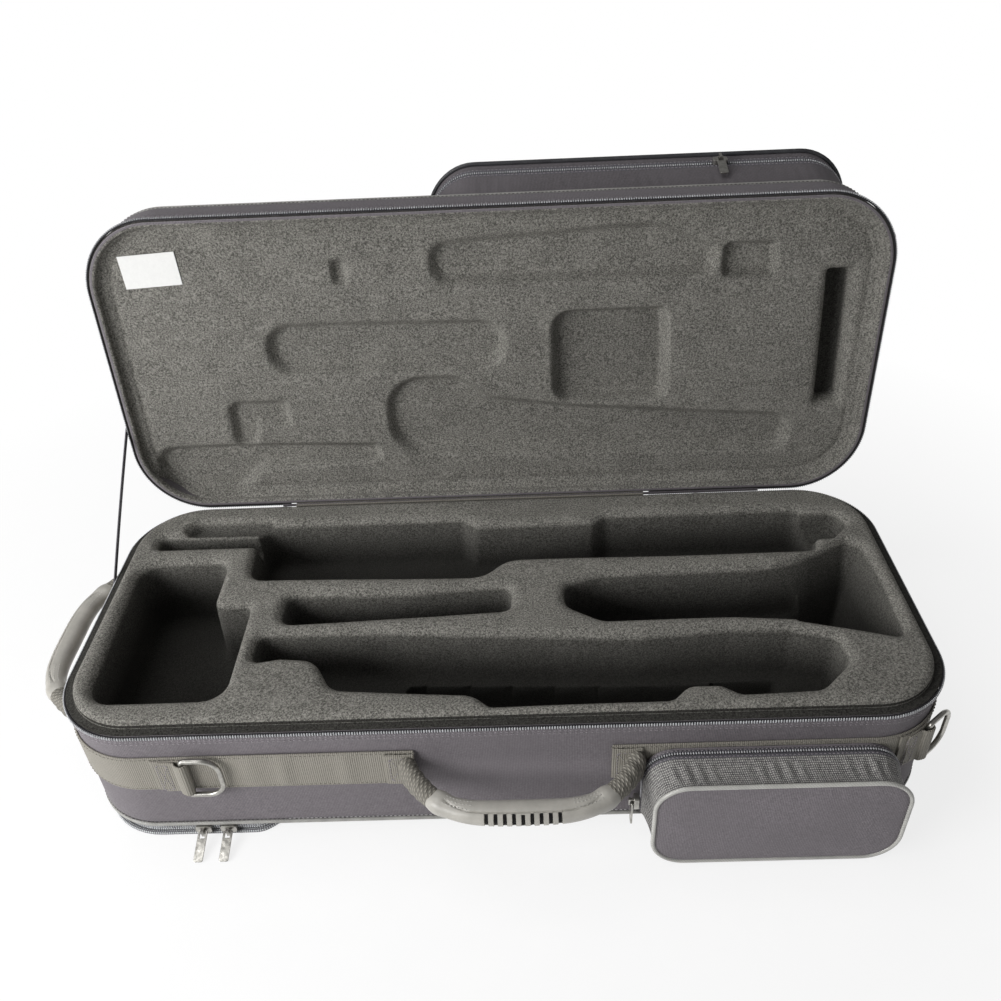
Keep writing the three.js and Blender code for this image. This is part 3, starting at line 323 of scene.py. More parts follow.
def domed(line, rise, low, high, count, place=as_drawn, steps=10):
    """A panel over an outline: rings shrink to the middle, height = high + rise * (1 - share^2.4)."""
    points, normals = walk(line, count)
    middle = (points.max(0) + points.min(0)) / 2
    edge = [[-3.0, low], [-0.6, low], [0, low + 0.5], [0, high - 0.8], [-0.8, high - 0.1]]
    rings = [np.insert(points + out * normals, 2, z, axis=1) for out, z in edge]
    inner = points - 0.8 * normals
    for share in np.linspace(0.96, 0.02, steps):
        z = high + rise * (1 - share**2.4)
        rings.append(np.insert(middle + (inner - middle) * share, 2, z, axis=1))
    block = capped(rings)
    block[2] = [block[0][group][..., :2] * MM for group in block[1]]
    return shift(block, place)


def pebble(length, width, height, sides=6):
    """A small rounded lozenge with few faces, its length along x, width along y, height along z."""
    across = np.array([-0.94, -0.5, 0.5, 0.94])[:, None] * length / 2
    size = np.array([0.4, 1, 1, 0.4])[:, None]
    angle = TURN * np.arange(sides)[None] / sides
    ring = [across + 0 * angle, size * width / 2 * np.cos(angle), size * height / 2 * np.sin(angle)]
    return capped(np.stack(ring, -1))


def scattered(template, origins, axes):
    """Copies of a small block: point = origin + template point along the three axes."""
    points, faces, uvs = template
    count, size = len(origins), len(points)
    placed = origins[:, None] + np.einsum("kj,nji->nki", points, np.broadcast_to(axes, (count, 3, 3)))
    jump = np.arange(count)[:, None, None] * size
    return [
        placed.reshape(-1, 3),
        [(group[None] + jump).reshape(-1, group.shape[1]) for group in faces],
        [np.tile(group, (count, 1, 1)) for group in uvs],
    ]


def row_along(line, pitch, out, z, template, closed=True, place=as_drawn):
    """Copies of a small block along a flat line, its x along the line, y square to the line's plane, z outwards."""
    count = max(3, int(length_of(line, closed) / pitch))
    points, normals = walk(line, count, closed)
    outwards = np.insert(normals, 2, 0, axis=1)
    up = np.tile([0.0, 0, 1], (count, 1))
    ahead = np.cross(up, outwards)
    origins = np.insert(points + out * normals, 2, z, axis=1)
    return shift(scattered(template, origins, np.stack([ahead, up, outwards], 1)), place)


# ---- Pieces -----------------------------------------------------------------

def build_mesh(name, blocks, crease):
    """One mesh from blocks of millimetre points, with its faces turned outwards and its UVs in metres."""
    points = np.concatenate([block[0] for block in blocks]) * MM
    offsets = np.cumsum([0] + [len(block[0]) for block in blocks[:-1]])
    groups = [group + offset for block, offset in zip(blocks, offsets) for group in block[1]]
    uvs = np.concatenate([group.reshape(-1, 2) for block in blocks for group in block[2]])
    sizes = np.concatenate([np.full(len(group), group.shape[1]) for group in groups])
    loops = np.concatenate([group.ravel() for group in groups])
    mesh = bpy.data.meshes.new(name)
    mesh.vertices.add(len(points))
    mesh.vertices.foreach_set("co", points.ravel().astype(np.float32))
    mesh.loops.add(len(loops))
    mesh.loops.foreach_set("vertex_index", loops.astype(np.int32))
    mesh.polygons.add(len(sizes))
    mesh.polygons.foreach_set("loop_start", (np.cumsum(sizes) - sizes).astype(np.int32))
    mesh.update(calc_edges=True)
    mesh.uv_layers.new(name="UVMap").data.foreach_set("uv", uvs.ravel().astype(np.float32))
    work = bmesh.new()
    work.from_mesh(mesh)
    bmesh.ops.recalc_face_normals(work, faces=work.faces)
    work.to_mesh(mesh)
    work.free()
    mesh.polygons.foreach_set("use_smooth", np.ones(len(sizes), bool))
    mesh.set_sharp_from_angle(angle=math.radians(crease))
    return mesh


def make_piece(name, blocks, finish, body, node=None, crease=50):
    """A new piece of the case that rides on a body and wears a finish.

    It stands for a node of the frame: the one given, or else the one that has its name, if there is one.
    """
    piece = bpy.data.objects.new(name, build_mesh(name, blocks, crease))
    bpy.context.scene.collection.objects.link(piece)
    piece.data.materials.append(finish_of(finish))
    if body:
        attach(piece, body)
    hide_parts(*({node or name} & set(frame["nodes"])))
    return piece


def make_beads(name, blocks, finish, body):
    """A piece made of small beads, such as stitches or teeth, whose few flat sides are shaded as round."""
    return make_piece(name, blocks, finish, body, crease=80)


# ---- Finishes ---------------------------------------------------------------

# The pile's noise (scale, detail, roughness), and the pitch and relief of the ribs on a piping
PILE = 640, 4, 0.9
PIPING_RIB, PIPING_RELIEF = 0.0012, 0.00015


def add_node(tree, kind, inputs, **settings):
    """A shader node with some settings and inputs, which are values or other nodes' outputs."""
    node = tree.nodes.new("ShaderNode" + kind)
    for name, value in settings.items():
        setattr(node, name, value)
    for socket, value in inputs.items():
        if isinstance(value, bpy.types.NodeSocket):
            tree.links.new(value, node.inputs[socket])
        else:
            node.inputs[socket].default_value = value
    return node


class Finish:
    """A material in the making: a Principled shader and short calls that add the nodes that feed it."""

    def __init__(self, name, **fixed):
        self.material = bpy.data.materials.new("case " + name)
        self.material.use_nodes = True
        self.tree = self.material.node_tree
        self.shader = self.tree.nodes["Principled BSDF"]
        for socket, value in fixed.items():
            self.shader.inputs[socket.replace("_", " ")].default_value = value
        self.places = self.add("TexCoord", {})

    def add(self, kind, inputs, **settings):
        """A node of the material."""
        return add_node(self.tree, kind, inputs, **settings)

    def noise(self, scale, detail=2.0, rough=0.5):
        """Cloudy variation, its scale in features for each metre."""
        inputs = {"Vector": self.places.outputs["Object"], "Scale": scale, "Detail": detail, "Roughness": rough}
        return self.add("TexNoise", inputs).outputs["Fac"]

    def ribs(self, pitch, direction="X", space="UV"):
        """Parallel ribs, their pitch in metres."""
        inputs = {"Vector": self.places.outputs[space], "Scale": TURN / 20 / pitch}
        return self.add("TexWave", inputs, bands_direction=direction, wave_profile="SIN").outputs["Fac"]

    def maths(self, operation, first, second):
        """Arithmetic on two values."""
        return self.add("Math", {0: first, 1: second}, operation=operation).outputs[0]

    def plus(self, first, second):
        """The sum of two values."""
        return self.maths("ADD", first, second)

    def times(self, first, second):
        """The product of two values."""
        return self.maths("MULTIPLY", first, second)

    def larger(self, first, second):
        """The larger of two values."""
        return self.maths("MAXIMUM", first, second)

    def spread(self, value, low, high, start=0.0, end=1.0):
        """A value stretched from one range to another, and kept within it."""
        inputs = {"Value": value, "From Min": low, "From Max": high, "To Min": start, "To Max": end}
        return self.add("MapRange", inputs).outputs["Result"]

    def clouds(self, scale, detail, rough=0.5, low=0.3, high=0.7, start=0.0, end=1.0):
        """Cloudy variation stretched from one range to another."""
        return self.spread(self.noise(scale, detail, rough), low, high, start, end)

    def mixed(self, share, first, second):
        """A colour between two colours."""
        colours = [c if isinstance(c, bpy.types.NodeSocket) else (*c, 1.0) for c in (first, second)]
        return self.add("Mix", {0: share, 6: colours[0], 7: colours[1]}, data_type="RGBA").outputs[2]

    def colour(self, value):
        """Sets the colour."""
        self.tree.links.new(value, self.shader.inputs["Base Color"])

    def paint(self, share, name, low, high):
        """Sets a colour that runs between two tones of one of the case's colours."""
        self.colour(self.mixed(share, tone(name, low), tone(name, high)))

    def rough(self, value):
        """Sets the roughness."""
        self.tree.links.new(value, self.shader.inputs["Roughness"])

    def bump(self, height, depth, below=None):
        """Raises the surface by the height times a depth in metres."""
        inputs = {"Height": height, "Distance": depth, "Strength": 1.0}
        if below:
            inputs["Normal"] = below
        normal = self.add("Bump", inputs).outputs["Normal"]
        self.tree.links.new(normal, self.shader.inputs["Normal"])
        return normal


def tone(name, factor):
    """One of the case's colours made lighter or darker."""
    return tuple(min(1.0, channel * factor) for channel in getattr(bpy.context.scene.case_colours, name))


def worn_finish(name, tones, grain, rough=None, relief=None, **fixed):
    """A surface whose colour runs between two tones of a colour with a cloudy grain.

    The grain is a noise's scale, detail and roughness and the range it is stretched from. The two rough values go with
    its two ends, and the relief is a noise's scale and detail and the depth of its bumps.
    """
    finish = Finish(name, **fixed)
    share = finish.clouds(*grain)
    finish.paint(share, *tones)
    if rough:
        finish.rough(finish.spread(share, 0, 1, *rough))
    if relief:
        finish.bump(finish.noise(*relief[:2]), relief[2])
    return finish


def cloth_finish(name="cloth", low=0.58, high=1.42):
    """Woven nylon: a fine square weave, a faint cloudiness and dust."""
    finish = Finish(name, Roughness=0.78, Sheen_Weight=0.05, Sheen_Roughness=0.4)
    thread = 0.0013
    weave = finish.plus(finish.ribs(thread, "X"), finish.ribs(thread, "Y"))
    grain = finish.plus(finish.times(weave, 0.25), finish.noise(540, 4, 0.85))
    base = finish.mixed(finish.spread(grain, 0.6, 0.92), tone("cloth", low), tone("cloth", high))
    dusty = finish.mixed(0.5, base, tone("cloth", 0.88))
    finish.colour(finish.mixed(finish.clouds(14, 3), base, dusty))
    broad = finish.bump(finish.noise(22, 2), 0.0016)
    finish.bump(grain, 0.00022, broad)
    return finish


def shaded_cloth_finish():
    """The cloth of the lid pocket's sides and rim, darkened as painted shade."""
    return cloth_finish("deep cloth", 0.42, 0.92)


def lit_cloth_finish():
    """The cloth of the front pocket's panel, lightened as painted light."""
    return cloth_finish("panel cloth", 0.7, 1.75)


def plush_finish():
    """Short plush: a speckle of pile ends, brushed patches, a soft sheen, and painted shade down in the hollows."""
    warm = (0.8, 0.78, 0.72, 1)
    finish = Finish(
        "plush", Roughness=1.0, Specular_IOR_Level=0.1, Sheen_Weight=0.08, Sheen_Roughness=0.4, Sheen_Tint=warm)
    pile = finish.noise(*PILE)
    patch = finish.noise(38, 4, 0.6)
    share = finish.plus(finish.spread(pile, 0.42, 0.6), finish.spread(patch, 0.3, 0.7, -0.1, 0.08))
    lit = finish.mixed(share, tone("plush", 0.35), tone("plush", 1.65))
    parts = finish.add("SeparateXYZ", {0: finish.places.outputs["Object"]}).outputs
    # Painted shade in the base's hollows: the pile darkens from 4.5 mm below the lip down to 50 mm below it, most
    # quickly down to 8 mm
    brim_shade = finish.spread(parts["Z"], (LIP_Z - 8) * MM, (LIP_Z - 4.5) * MM, 0.56, 0.0)
    deep = finish.plus(brim_shade, finish.spread(parts["Z"], (LIP_Z - 50) * MM, (LIP_Z - 8) * MM, 0.36, 0.0))

    # In the lid, painted shade grows from 14 to 22 mm deep, with depth measured square to its face, which lies 10 mm
    # beyond the hinge
    angle = bpy.context.scene.case_sizes.lid_angle
    level = finish.plus(finish.times(parts["Y"], math.sin(angle)), finish.times(parts["Z"], math.cos(angle)))
    face = HINGE_Y * math.sin(angle) + HINGE_Z * math.cos(angle) + 10
    deep = finish.plus(deep, finish.spread(level, (face + 14) * MM, (face + 22) * MM, 0.0, 0.8))
    finish.colour(finish.mixed(deep, lit, tone("plush", 0.07)))
    soft = finish.bump(patch, 0.0009)
    finish.bump(pile, 0.0016, soft)
    return finish


def shade_finish():
    """Painted shade: a dark copy of the plush for its turned edge next to the zip."""
    finish = worn_finish("shade", ("plush", 0.05, 0.34), (*PILE, 0.36, 0.66), Roughness=1.0, Specular_IOR_Level=0.1)
    finish.bump(finish.noise(*PILE), 0.001)
    return finish


def webbing_finish():
    """Ribbed webbing: fine ribs across its length, crossed by the warp, with worn lighter tops."""
    finish = Finish("webbing", Roughness=0.7, Sheen_Weight=0.06, Sheen_Roughness=0.4)
    weave = finish.times(finish.ribs(0.0017, "Y"), finish.spread(finish.ribs(0.0015, "X"), 0, 1, 0.45, 1))
    share = finish.plus(finish.times(weave, 0.7), finish.clouds(900, 3, 0.7, end=0.4))
    finish.paint(share, "webbing", 0.66, 1.38)
    finish.bump(weave, 0.0004, finish.bump(finish.noise(40, 2), 0.0008))
    return finish


def strap_finish():
    """Thick herringbone webbing of the handle ends."""
    finish = Finish("strap", Roughness=0.75, Sheen_Weight=0.05, Sheen_Roughness=0.4)
    lean = finish.times(finish.ribs(0.0024, "DIAGONAL"), finish.ribs(0.0026, "Y"))
    finish.paint(finish.plus(lean, finish.clouds(900, 3, 0.7, end=0.35)), "webbing", 0.38, 1.2)
    finish.bump(lean, 0.0007)
    return finish


def gusset_finish():
    """Coarse zig-zag weave of the pocket sides: light threads over a dark ground."""
    finish = Finish("gusset", Roughness=0.7, Sheen_Weight=0.05, Sheen_Roughness=0.4)
    zigzag = finish.times(finish.ribs(0.0017, "Y"), finish.ribs(0.0021, "X"))
    share = finish.plus(zigzag, finish.clouds(500, 3, 0.7, start=-0.15, end=0.35))
    finish.colour(finish.mixed(share, tone("cloth", 0.42), tone("piping", 1.05)))
    finish.bump(zigzag, 0.0005)
    return finish


def mesh_finish():
    """Open mesh cloth: small dark eyes between light threads."""
    finish = Finish("mesh", Roughness=0.65, Sheen_Weight=0.2)
    eyes = finish.times(finish.ribs(0.0019, "X"), finish.ribs(0.0024, "Y"))
    finish.colour(finish.mixed(finish.spread(eyes, 0.05, 0.5), tone("zip", 1.1), tone("mesh", 1.2)))
    finish.bump(eyes, 0.0006)
    return finish


def tape_finish():
    """Zip tape: a tight twill with a soft sheen."""
    finish = Finish("tape", Roughness=0.6, Sheen_Weight=0.2, Sheen_Roughness=0.3)
    twill = finish.ribs(0.0012, "DIAGONAL")
    finish.paint(finish.plus(finish.times(twill, 0.6), finish.clouds(900, 2, end=0.4)), "zip", 0.6, 1.4)
    finish.bump(twill, 0.0002)
    return finish


def teeth_finish():
    """Nylon coil: glossy bluish teeth that differ a little from one to the next."""
    finish = worn_finish("teeth", ("teeth", 0.7, 1.15), (420, 1, 0.5, 0.35, 0.65), Roughness=0.3, Coat_Weight=0.15)
    finish.rough(finish.clouds(700, 2, start=0.25, end=0.45))
    return finish


def thread_finish():
    """Twisted sewing thread."""
    finish = Finish("thread", Roughness=0.55, Sheen_Weight=0.2)
    finish.paint(finish.ribs(0.0008, "DIAGONAL", "Object"), "cloth", 1.0, 2.1)
    return finish


def seam_finish():
    """A sewn seam: small dark dips in the cloth beside a piping or an edge."""
    return worn_finish("seam", ("cloth", 0.35, 0.8), (700, 2, 0.5, 0, 1), Roughness=0.8)


def edge_piping_finish():
    """Darker smooth piping of the case's own edges, with small scuffs."""
    finish = worn_finish("edge piping", ("piping", 0.72, 0.42), (60, 4, 0.6, 0.35, 0.75), (0.32, 0.5), Roughness=0.4)
    finish.bump(finish.ribs(PIPING_RIB, "DIAGONAL"), PIPING_RELIEF)
    return finish


def dark_piping_finish():
    """Dark piping with a faint green cast and small scuffs."""
    finish = Finish("dark piping", Roughness=0.4)
    scuff = finish.clouds(70, 4, 0.6, 0.35, 0.75)
    green = [channel * cast for channel, cast in zip(tone("zip", 0.6), (0.9, 1, 0.92))]
    finish.colour(finish.mixed(scuff, tone("zip", 0.32), green))
    finish.rough(finish.spread(scuff, 0, 1, 0.35, 0.6))
    finish.bump(finish.ribs(PIPING_RIB, "DIAGONAL"), PIPING_RELIEF)
    return finish


def piping_finish():
    """Smooth covered piping with a faint weave and small scuffs."""
    finish = Finish("piping", Roughness=0.36, Coat_Weight=0.25)
    weave = finish.ribs(PIPING_RIB, "DIAGONAL")
    scuff = finish.clouds(60, 4, 0.6, 0.35, 0.75)
    clean = finish.mixed(weave, tone("piping", 0.82), tone("piping", 1.1))
    finish.colour(finish.mixed(scuff, clean, tone("piping", 0.7)))
    finish.rough(finish.spread(scuff, 0, 1, 0.38, 0.6))
    finish.bump(weave, PIPING_RELIEF)
    return finish


def grip_finish():
    """Satin moulded rubber with rubbed, glossier high places."""
    return worn_finish(
        "grip", ("grip", 0.88, 1.12), (55, 4, 0.65, 0.35, 0.7), (0.42, 0.28), (1500, 2, 0.00012),
        Roughness=0.34, Specular_IOR_Level=0.6)


def shade_fill_finish():
    """Painted shade: a near-black fill on the floors of a grip's slots and in the gap between the rows of a zip."""
    return worn_finish("core", ("zip", 0.1, 0.3), (900, 2, 0.5, 0, 1), Roughness=0.9)


def metal_finish():
    """Satin plated metal with fine brushing and handling marks."""
    return worn_finish(
        "metal", ("metal", 0.66, 1.06), (260, 4, 0.65, 0.35, 0.7), (0.42, 0.24), (1800, 1, 0.00004),
        Metallic=0.95, Roughness=0.3)


def label_finish():
    """A bare white card with a soft paper grain."""
    return worn_finish("label", ("label", 0.95, 1), (300, 4, 0.7), None, (900, 2, 0.00005), Roughness=0.5)


FINISHES = {
    "cloth": cloth_finish, "deep cloth": shaded_cloth_finish, "panel cloth": lit_cloth_finish, "plush": plush_finish,
    "shade": shade_finish, "webbing": webbing_finish, "strap": strap_finish, "gusset": gusset_finish,
    "mesh": mesh_finish, "tape": tape_finish, "teeth": teeth_finish, "thread": thread_finish, "seam": seam_finish,
    "edge piping": edge_piping_finish, "dark piping": dark_piping_finish, "piping": piping_finish,
    "grip": grip_finish, "core": shade_fill_finish, "metal": metal_finish, "label": label_finish,
}


def finish_of(name):
    """The material of that name, made when it is first asked for."""
    return bpy.data.materials.get("case " + name) or FINISHES[name]().material


# ---- Sizes and colours ------------------------------------------------------

def colour_property(name, description, red, green, blue):
    """A colour a user can change, given by its screen values."""
    linear = [((value / 255 + 0.055) / 1.055) ** 2.4 for value in (red, green, blue)]
    return FloatVectorProperty(
        name=name, description=description, subtype="COLOR", size=3, min=0, max=1, default=linear)


def length_property(name, description, default):
    """A length a user can change, in metres."""
    return FloatProperty(
        name=name, description=description, default=default, min=0.0001, unit="LENGTH", subtype="DISTANCE", precision=4)


class CaseSizes(bpy.types.PropertyGroup):
    """Sizes of the case's soft parts and trim."""

    corner_radius: length_property("Corner radius", "Radius of the case's corners seen from above", 0.066)
    lid_angle: FloatProperty(
        name="Lid angle", description="How far the lid is turned back", default=math.radians(94), subtype="ANGLE",
        unit="ROTATION")
    plush_cell: length_property("Plush cell", "Spacing of the net that the plush is drawn on", 0.0016)
    stitch_length: length_property("Stitch length", "Length of one stitch", 0.0026)
    stitch_pitch: length_property("Stitch pitch", "Distance from one stitch to the next", 0.0042)
    tooth_pitch: length_property("Tooth pitch", "Distance from one zip tooth to the next", 0.0021)
    piping_radius: length_property("Piping radius", "Radius of the piping", 0.0018)
    pocket_swell: length_property("Pocket swell", "How far the pocket panels bulge", 0.003)


class CaseColours(bpy.types.PropertyGroup):
    """Colours of the case."""

    cloth: colour_property("Cloth", "Outer nylon cloth", 108, 103, 107)
    plush: colour_property("Plush", "Lining of the base and lid", 137, 135, 129)
    webbing: colour_property("Webbing", "Band round the case and handle ends", 136, 132, 123)
    zip: colour_property("Zip tape", "Tape of the zips", 84, 82, 88)
    teeth: colour_property("Zip teeth", "Coils of the zips", 176, 177, 180)
    piping: colour_property("Piping", "Edge piping", 186, 185, 180)
    grip: colour_property("Grip", "Moulded handle grips", 168, 165, 158)
    metal: colour_property("Metal", "Rings, sliders and tabs", 186, 184, 178)
    label: colour_property("Label", "Bare card in the lid", 226, 226, 224)
    mesh: colour_property("Mesh", "Mesh cloth of the strap pocket", 196, 200, 200)


# ---- Plush liners -----------------------------------------------------------

def inward_distance(points, outline):
    """The distance from each point to an outline, positive inside, and the direction that leads inside."""
    best = np.full(len(points), np.inf)
    way = np.zeros_like(points)
    inside = np.zeros(len(points), bool)
    for start, end in zip(outline, np.roll(outline, -1, 0)):
        run = end - start
        if run @ run < 1e-9:
            continue
        share = np.clip((points - start) @ run / (run @ run), 0, 1)
        offset = start + share[:, None] * run - points
        distance = np.hypot(*offset.T)
        nearer = distance < best
        best[nearer], way[nearer] = distance[nearer], offset[nearer]
        if start[1] != end[1]:
            spans = (start[1] > points[:, 1]) != (end[1] > points[:, 1])
            inside ^= spans & (points[:, 0] < start[0] + run[0] * (points[:, 1] - start[1]) / run[1])
    way /= np.maximum(best, 1e-9)[:, None]
    return np.where(inside, best, -best), np.where(inside[:, None], -way, way)


def deep_wall(depth):
    """How a steep hollow falls away: distance from the outline, where that point moves to, and how deep it lies."""
    rest = depth - 10.5
    straight = [8 + share * rest for share in (0.25, 0.5, 0.75)]
    distance = [-9, -7, -5, -3.4, -2, -0.6, 0.8, 2.2, 3.6, 5, 6.4, 8, 10, 12]
    moved = [-9, -6.9, -4.7, -2.8, -1.2, 0.2, 1.2, 1.9, 2.3, 2.7, 3.2, 4.2, 7, 12]
    fall = [0, 0.15, 0.7, 1.7, 3.1, 5.2, 8, *straight, depth - 4.5, depth - 2, depth - 0.6, depth]
    return distance, moved, fall


def sloped_wall(depth, run):
    """How a flared hollow falls away: a rolled mouth and then an even slope."""
    distance = [-7, -4, -2, 0, 2, 2 + run * 0.5, 2 + run, 6 + run]
    fall = [0, 0.7, 2.2, 4.5, 8, 8 + (depth - 8) * 0.55, depth - 3, depth]
    return distance, distance, fall


def soft_dent(depth, width=4.0):
    """How a shallow dent falls away: a soft step as wide as it says."""
    distance = np.linspace(-width / 2, width / 2, 9)
    share = np.linspace(0, 1, 9)
    return distance, distance, depth * share**2 * (3 - 2 * share)


def liner_net(cell):
    """Points spread over a liner in rows from the front to the back, and their distance from its rounded edge.

    Columns crowd in the corners by x = middle + radius * sin(angle), and rows crowd at the edge.
    """
    length, width = HALF_LENGTH - PLUSH_INSET, HALF_WIDTH - PLUSH_INSET
    radius = size_mm("corner_radius") - PLUSH_INSET
    turn = radius * np.sin(np.linspace(0, math.pi / 2, 36))
    straight = np.linspace(radius - length, length - radius, int(2 * (length - radius) / cell))
    x = np.concatenate([(radius - length) - turn[:0:-1], straight, (length - radius) + turn[1:]])
    edge = np.array([0, 0.35, 1.1, 2.2, 3.7, 5.4, 7.2])
    middle = np.linspace(9 - width, width - 9, int(2 * (width - 9) / cell))
    y = np.concatenate([edge - width, middle, (width - edge)[::-1]]) / width
    past = np.maximum(np.abs(x) - (length - radius), 0)
    reach = width - radius + np.sqrt(np.maximum(radius**2 - past**2, 0))
    grid = np.stack(np.broadcast_arrays(x[None], y[:, None] * reach[None]), -1)
    over = np.abs(grid) - (length - radius, width - radius)
    distance = radius - np.hypot(*np.moveaxis(np.maximum(over, 0), -1, 0)) - np.minimum(over.max(-1), 0)
    return grid, distance


def press(grid, hollows):
    """Presses hollows into a flat net. Each is an outline and a wall; the deepest at a point wins.

    A point at distance d from an outline moves along the way inside by moved(d) - d, so steep walls get more rows.
    """
    shape = grid.shape
    points = grid.reshape(-1, 2)
    depth, moved = np.zeros(len(points)), points.copy()
    for outline, (distances, places, falls) in hollows:
        near = ((points > outline.min(0) - 10) & (points < outline.max(0) + 10)).all(1)
        here = np.flatnonzero(near)
        distance, way = inward_distance(points[here], outline)
        fall = np.interp(distance, distances, falls)
        shifted = np.interp(distance, distances, places, left=0, right=0)
        step = np.where((distance > distances[0]) & (distance < distances[-1]), shifted - distance, 0)
        wins = fall > depth[here]
        depth[here[wins]] = fall[wins]
        moved[here[wins]] = points[here[wins]] + step[wins, None] * way[wins]
    return moved.reshape(shape), depth.reshape(shape[:2])


def shares(*corners):
    """Corners in shares of the half length and half width, as [x, y, radius] in millimetres."""
    return rounded_corners(np.array(corners) * (HALF_LENGTH, HALF_WIDTH, HALF_WIDTH), 5)


def lid_shares(*corners):
    """Corners in shares of the half length along and of the whole width up from the hinge."""
    x, up, radius = np.array(corners).T
    line = np.stack([x * HALF_LENGTH, HALF_WIDTH - up * 2 * HALF_WIDTH, radius * HALF_WIDTH], 1)
    return rounded_corners(line[::-1], 6)


def skirted(grid, height, low, place=as_drawn):
    """A closed body under a net: the net on top, a wall down from its edge and a flat floor."""
    rows, cols = grid.shape[:2]
    top = np.concatenate([grid, height[..., None]], 2)
    block = net(top)
    index = np.arange(rows * cols).reshape(rows, cols)
    edge = np.concatenate([index[0], index[1:, -1], index[-1, -2::-1], index[-2:0:-1, 0]])
    rim = block[0][edge]
    count = len(edge)
    levels = np.linspace(0, 1, 5)[1:, None, None]
    wall = rim[None] * (1, 1, 0) + np.array([0, 0, 1.0]) * (rim[None, :, 2:] * (1 - levels) + low * levels)
    first = len(block[0])
    rings = np.vstack([edge[None], first + np.arange(4 * count).reshape(4, count)])
    after = np.roll(rings, -1, 1)
    sides = np.stack([rings[:-1], rings[1:], after[1:], after[:-1]], -1).reshape(-1, 4)
    return [
        place(np.concatenate([block[0], wall.reshape(-1, 3)])),
        block[1] + [sides, rings[-1][None]],
        block[2] + [np.zeros((len(sides), 4, 2)), np.zeros((1, count, 2))],
    ]


class BuildBasePlush(bpy.types.Operator):
    """Build the plush liner of the base, with its hollows for the joints of the instrument"""

    bl_idname = "case.base_plush"
    bl_label = "Base plush"

    def execute(self, context):
        grid, edge = liner_net(size_mm("plush_cell"))
        box = shares(
            [-0.93, -0.8, 0.14], [-0.615, -0.8, 0.13], [-0.615, -0.04, 0.05], [-0.71, -0.04, 0.06],
            [-0.71, 0.38, 0.09], [-0.945, 0.38, 0.14])
        groove = shares([-0.925, 0.52, 0.05], [-0.62, 0.52, 0.05], [-0.62, 0.65, 0.05], [-0.925, 0.65, 0.05])
        shelf = shares([-0.87, 0.66, 0.05], [-0.62, 0.66, 0.05], [-0.62, 0.8, 0.05], [-0.84, 0.8, 0.07])
        rear = shares(
            [-0.645, 0.19, 0.11], [-0.04, 0.15, 0.2], [0.02, 0.31, 0.2], [0.83, 0.3, 0.1], [0.83, 0.74, 0.1],
            [0.29, 0.74, 0.05], [0.25, 0.67, 0.05], [-0.06, 0.67, 0.05], [-0.1, 0.75, 0.05], [-0.66, 0.75, 0.1])
        nook = shares([0.8, 0.42, 0.05], [0.875, 0.42, 0.06], [0.93, 0.56, 0.05], [0.91, 0.69, 0.08], [0.8, 0.71, 0.05])
        middle = shares(
            [-0.535, -0.22, 0.08], [-0.16, -0.19, 0.2], [0.03, -0.16, 0.07], [0.035, 0.05, 0.07], [-0.03, 0.06, 0.1],
            [-0.24, 0.02, 0.2], [-0.535, 0.04, 0.08])
        stem = shares(
            [0.16, -0.13, 0.12], [0.25, -0.27, 0.14], [0.56, -0.27, 0.3], [0.8, -0.32, 0.1], [0.8, 0.2, 0.1],
            [0.64, 0.15, 0.2], [0.25, 0.14, 0.13], [0.16, 0.06, 0.1])
        bell = shares(
            [0.7, -0.31, 0.06], [0.83, -0.4, 0.12], [0.945, -0.49, 0.06], [0.95, 0, 0.2], [0.94, 0.33, 0.06],
            [0.905, 0.41, 0.05], [0.78, 0.24, 0.1], [0.7, 0.17, 0.06])
        front = shares(
            [-0.58, -0.53, 0.05], [-0.51, -0.5, 0.08], [-0.43, -0.52, 0.13], [-0.38, -0.75, 0.13], [-0.06, -0.81, 0.16],
            [-0.02, -0.9, 0.05], [0.38, -0.89, 0.09], [0.42, -0.79, 0.09], [0.49, -0.79, 0.09], [0.53, -0.86, 0.09],
            [0.71, -0.85, 0.14], [0.8, -0.64, 0.14], [0.785, -0.46, 0.07], [0.68, -0.38, 0.1], [0.54, -0.37, 0.1],
            [0.33, -0.41, 0.2], [0, -0.36, 0.3], [-0.27, -0.31, 0.3], [-0.58, -0.3, 0.07])
        trough = shares(
            [-0.24, -0.79, 0.06], [-0.06, -0.83, 0.06], [-0.02, -0.92, 0.05], [0.38, -0.91, 0.05], [0.42, -0.81, 0.05],
            [0.49, -0.81, 0.05], [0.53, -0.88, 0.05], [0.66, -0.87, 0.07], [0.67, -0.66, 0.07], [0.66, -0.47, 0.07],
            [0.33, -0.49, 0.2], [-0.24, -0.43, 0.07])
        moved, depth = press(grid, [
            (box, deep_wall(72)), (groove, deep_wall(26)), (shelf, soft_dent(12, 9)), (rear, deep_wall(52)),
            (nook, deep_wall(26)), (middle, deep_wall(60)), (stem, deep_wall(62)), (bell, sloped_wall(97, 24)),
            (front, deep_wall(50)),
        ])
        lower, ledge = press(grid, [(trough, deep_wall(78))])
        under = (ledge > 49) & (depth > 45)
        depth = np.where(under, ledge, depth)
        moved = np.where(under[..., None], lower, moved)
        round_off = np.minimum(edge / 7.5, 1)
        top = LIP_Z - 7.5 * (1 - np.sqrt(np.maximum(1 - (1 - round_off) ** 2, 0)))
        top += 0.5 * np.sin(moved[..., 0] / 37) * np.sin(moved[..., 1] / 23) * round_off
        body = skirted(moved, top - depth, FOOT_Z + 7)
        plush = make_piece("base_plush", [body], "plush", "base", "base_liner", SMOOTH)
        return {"FINISHED"}


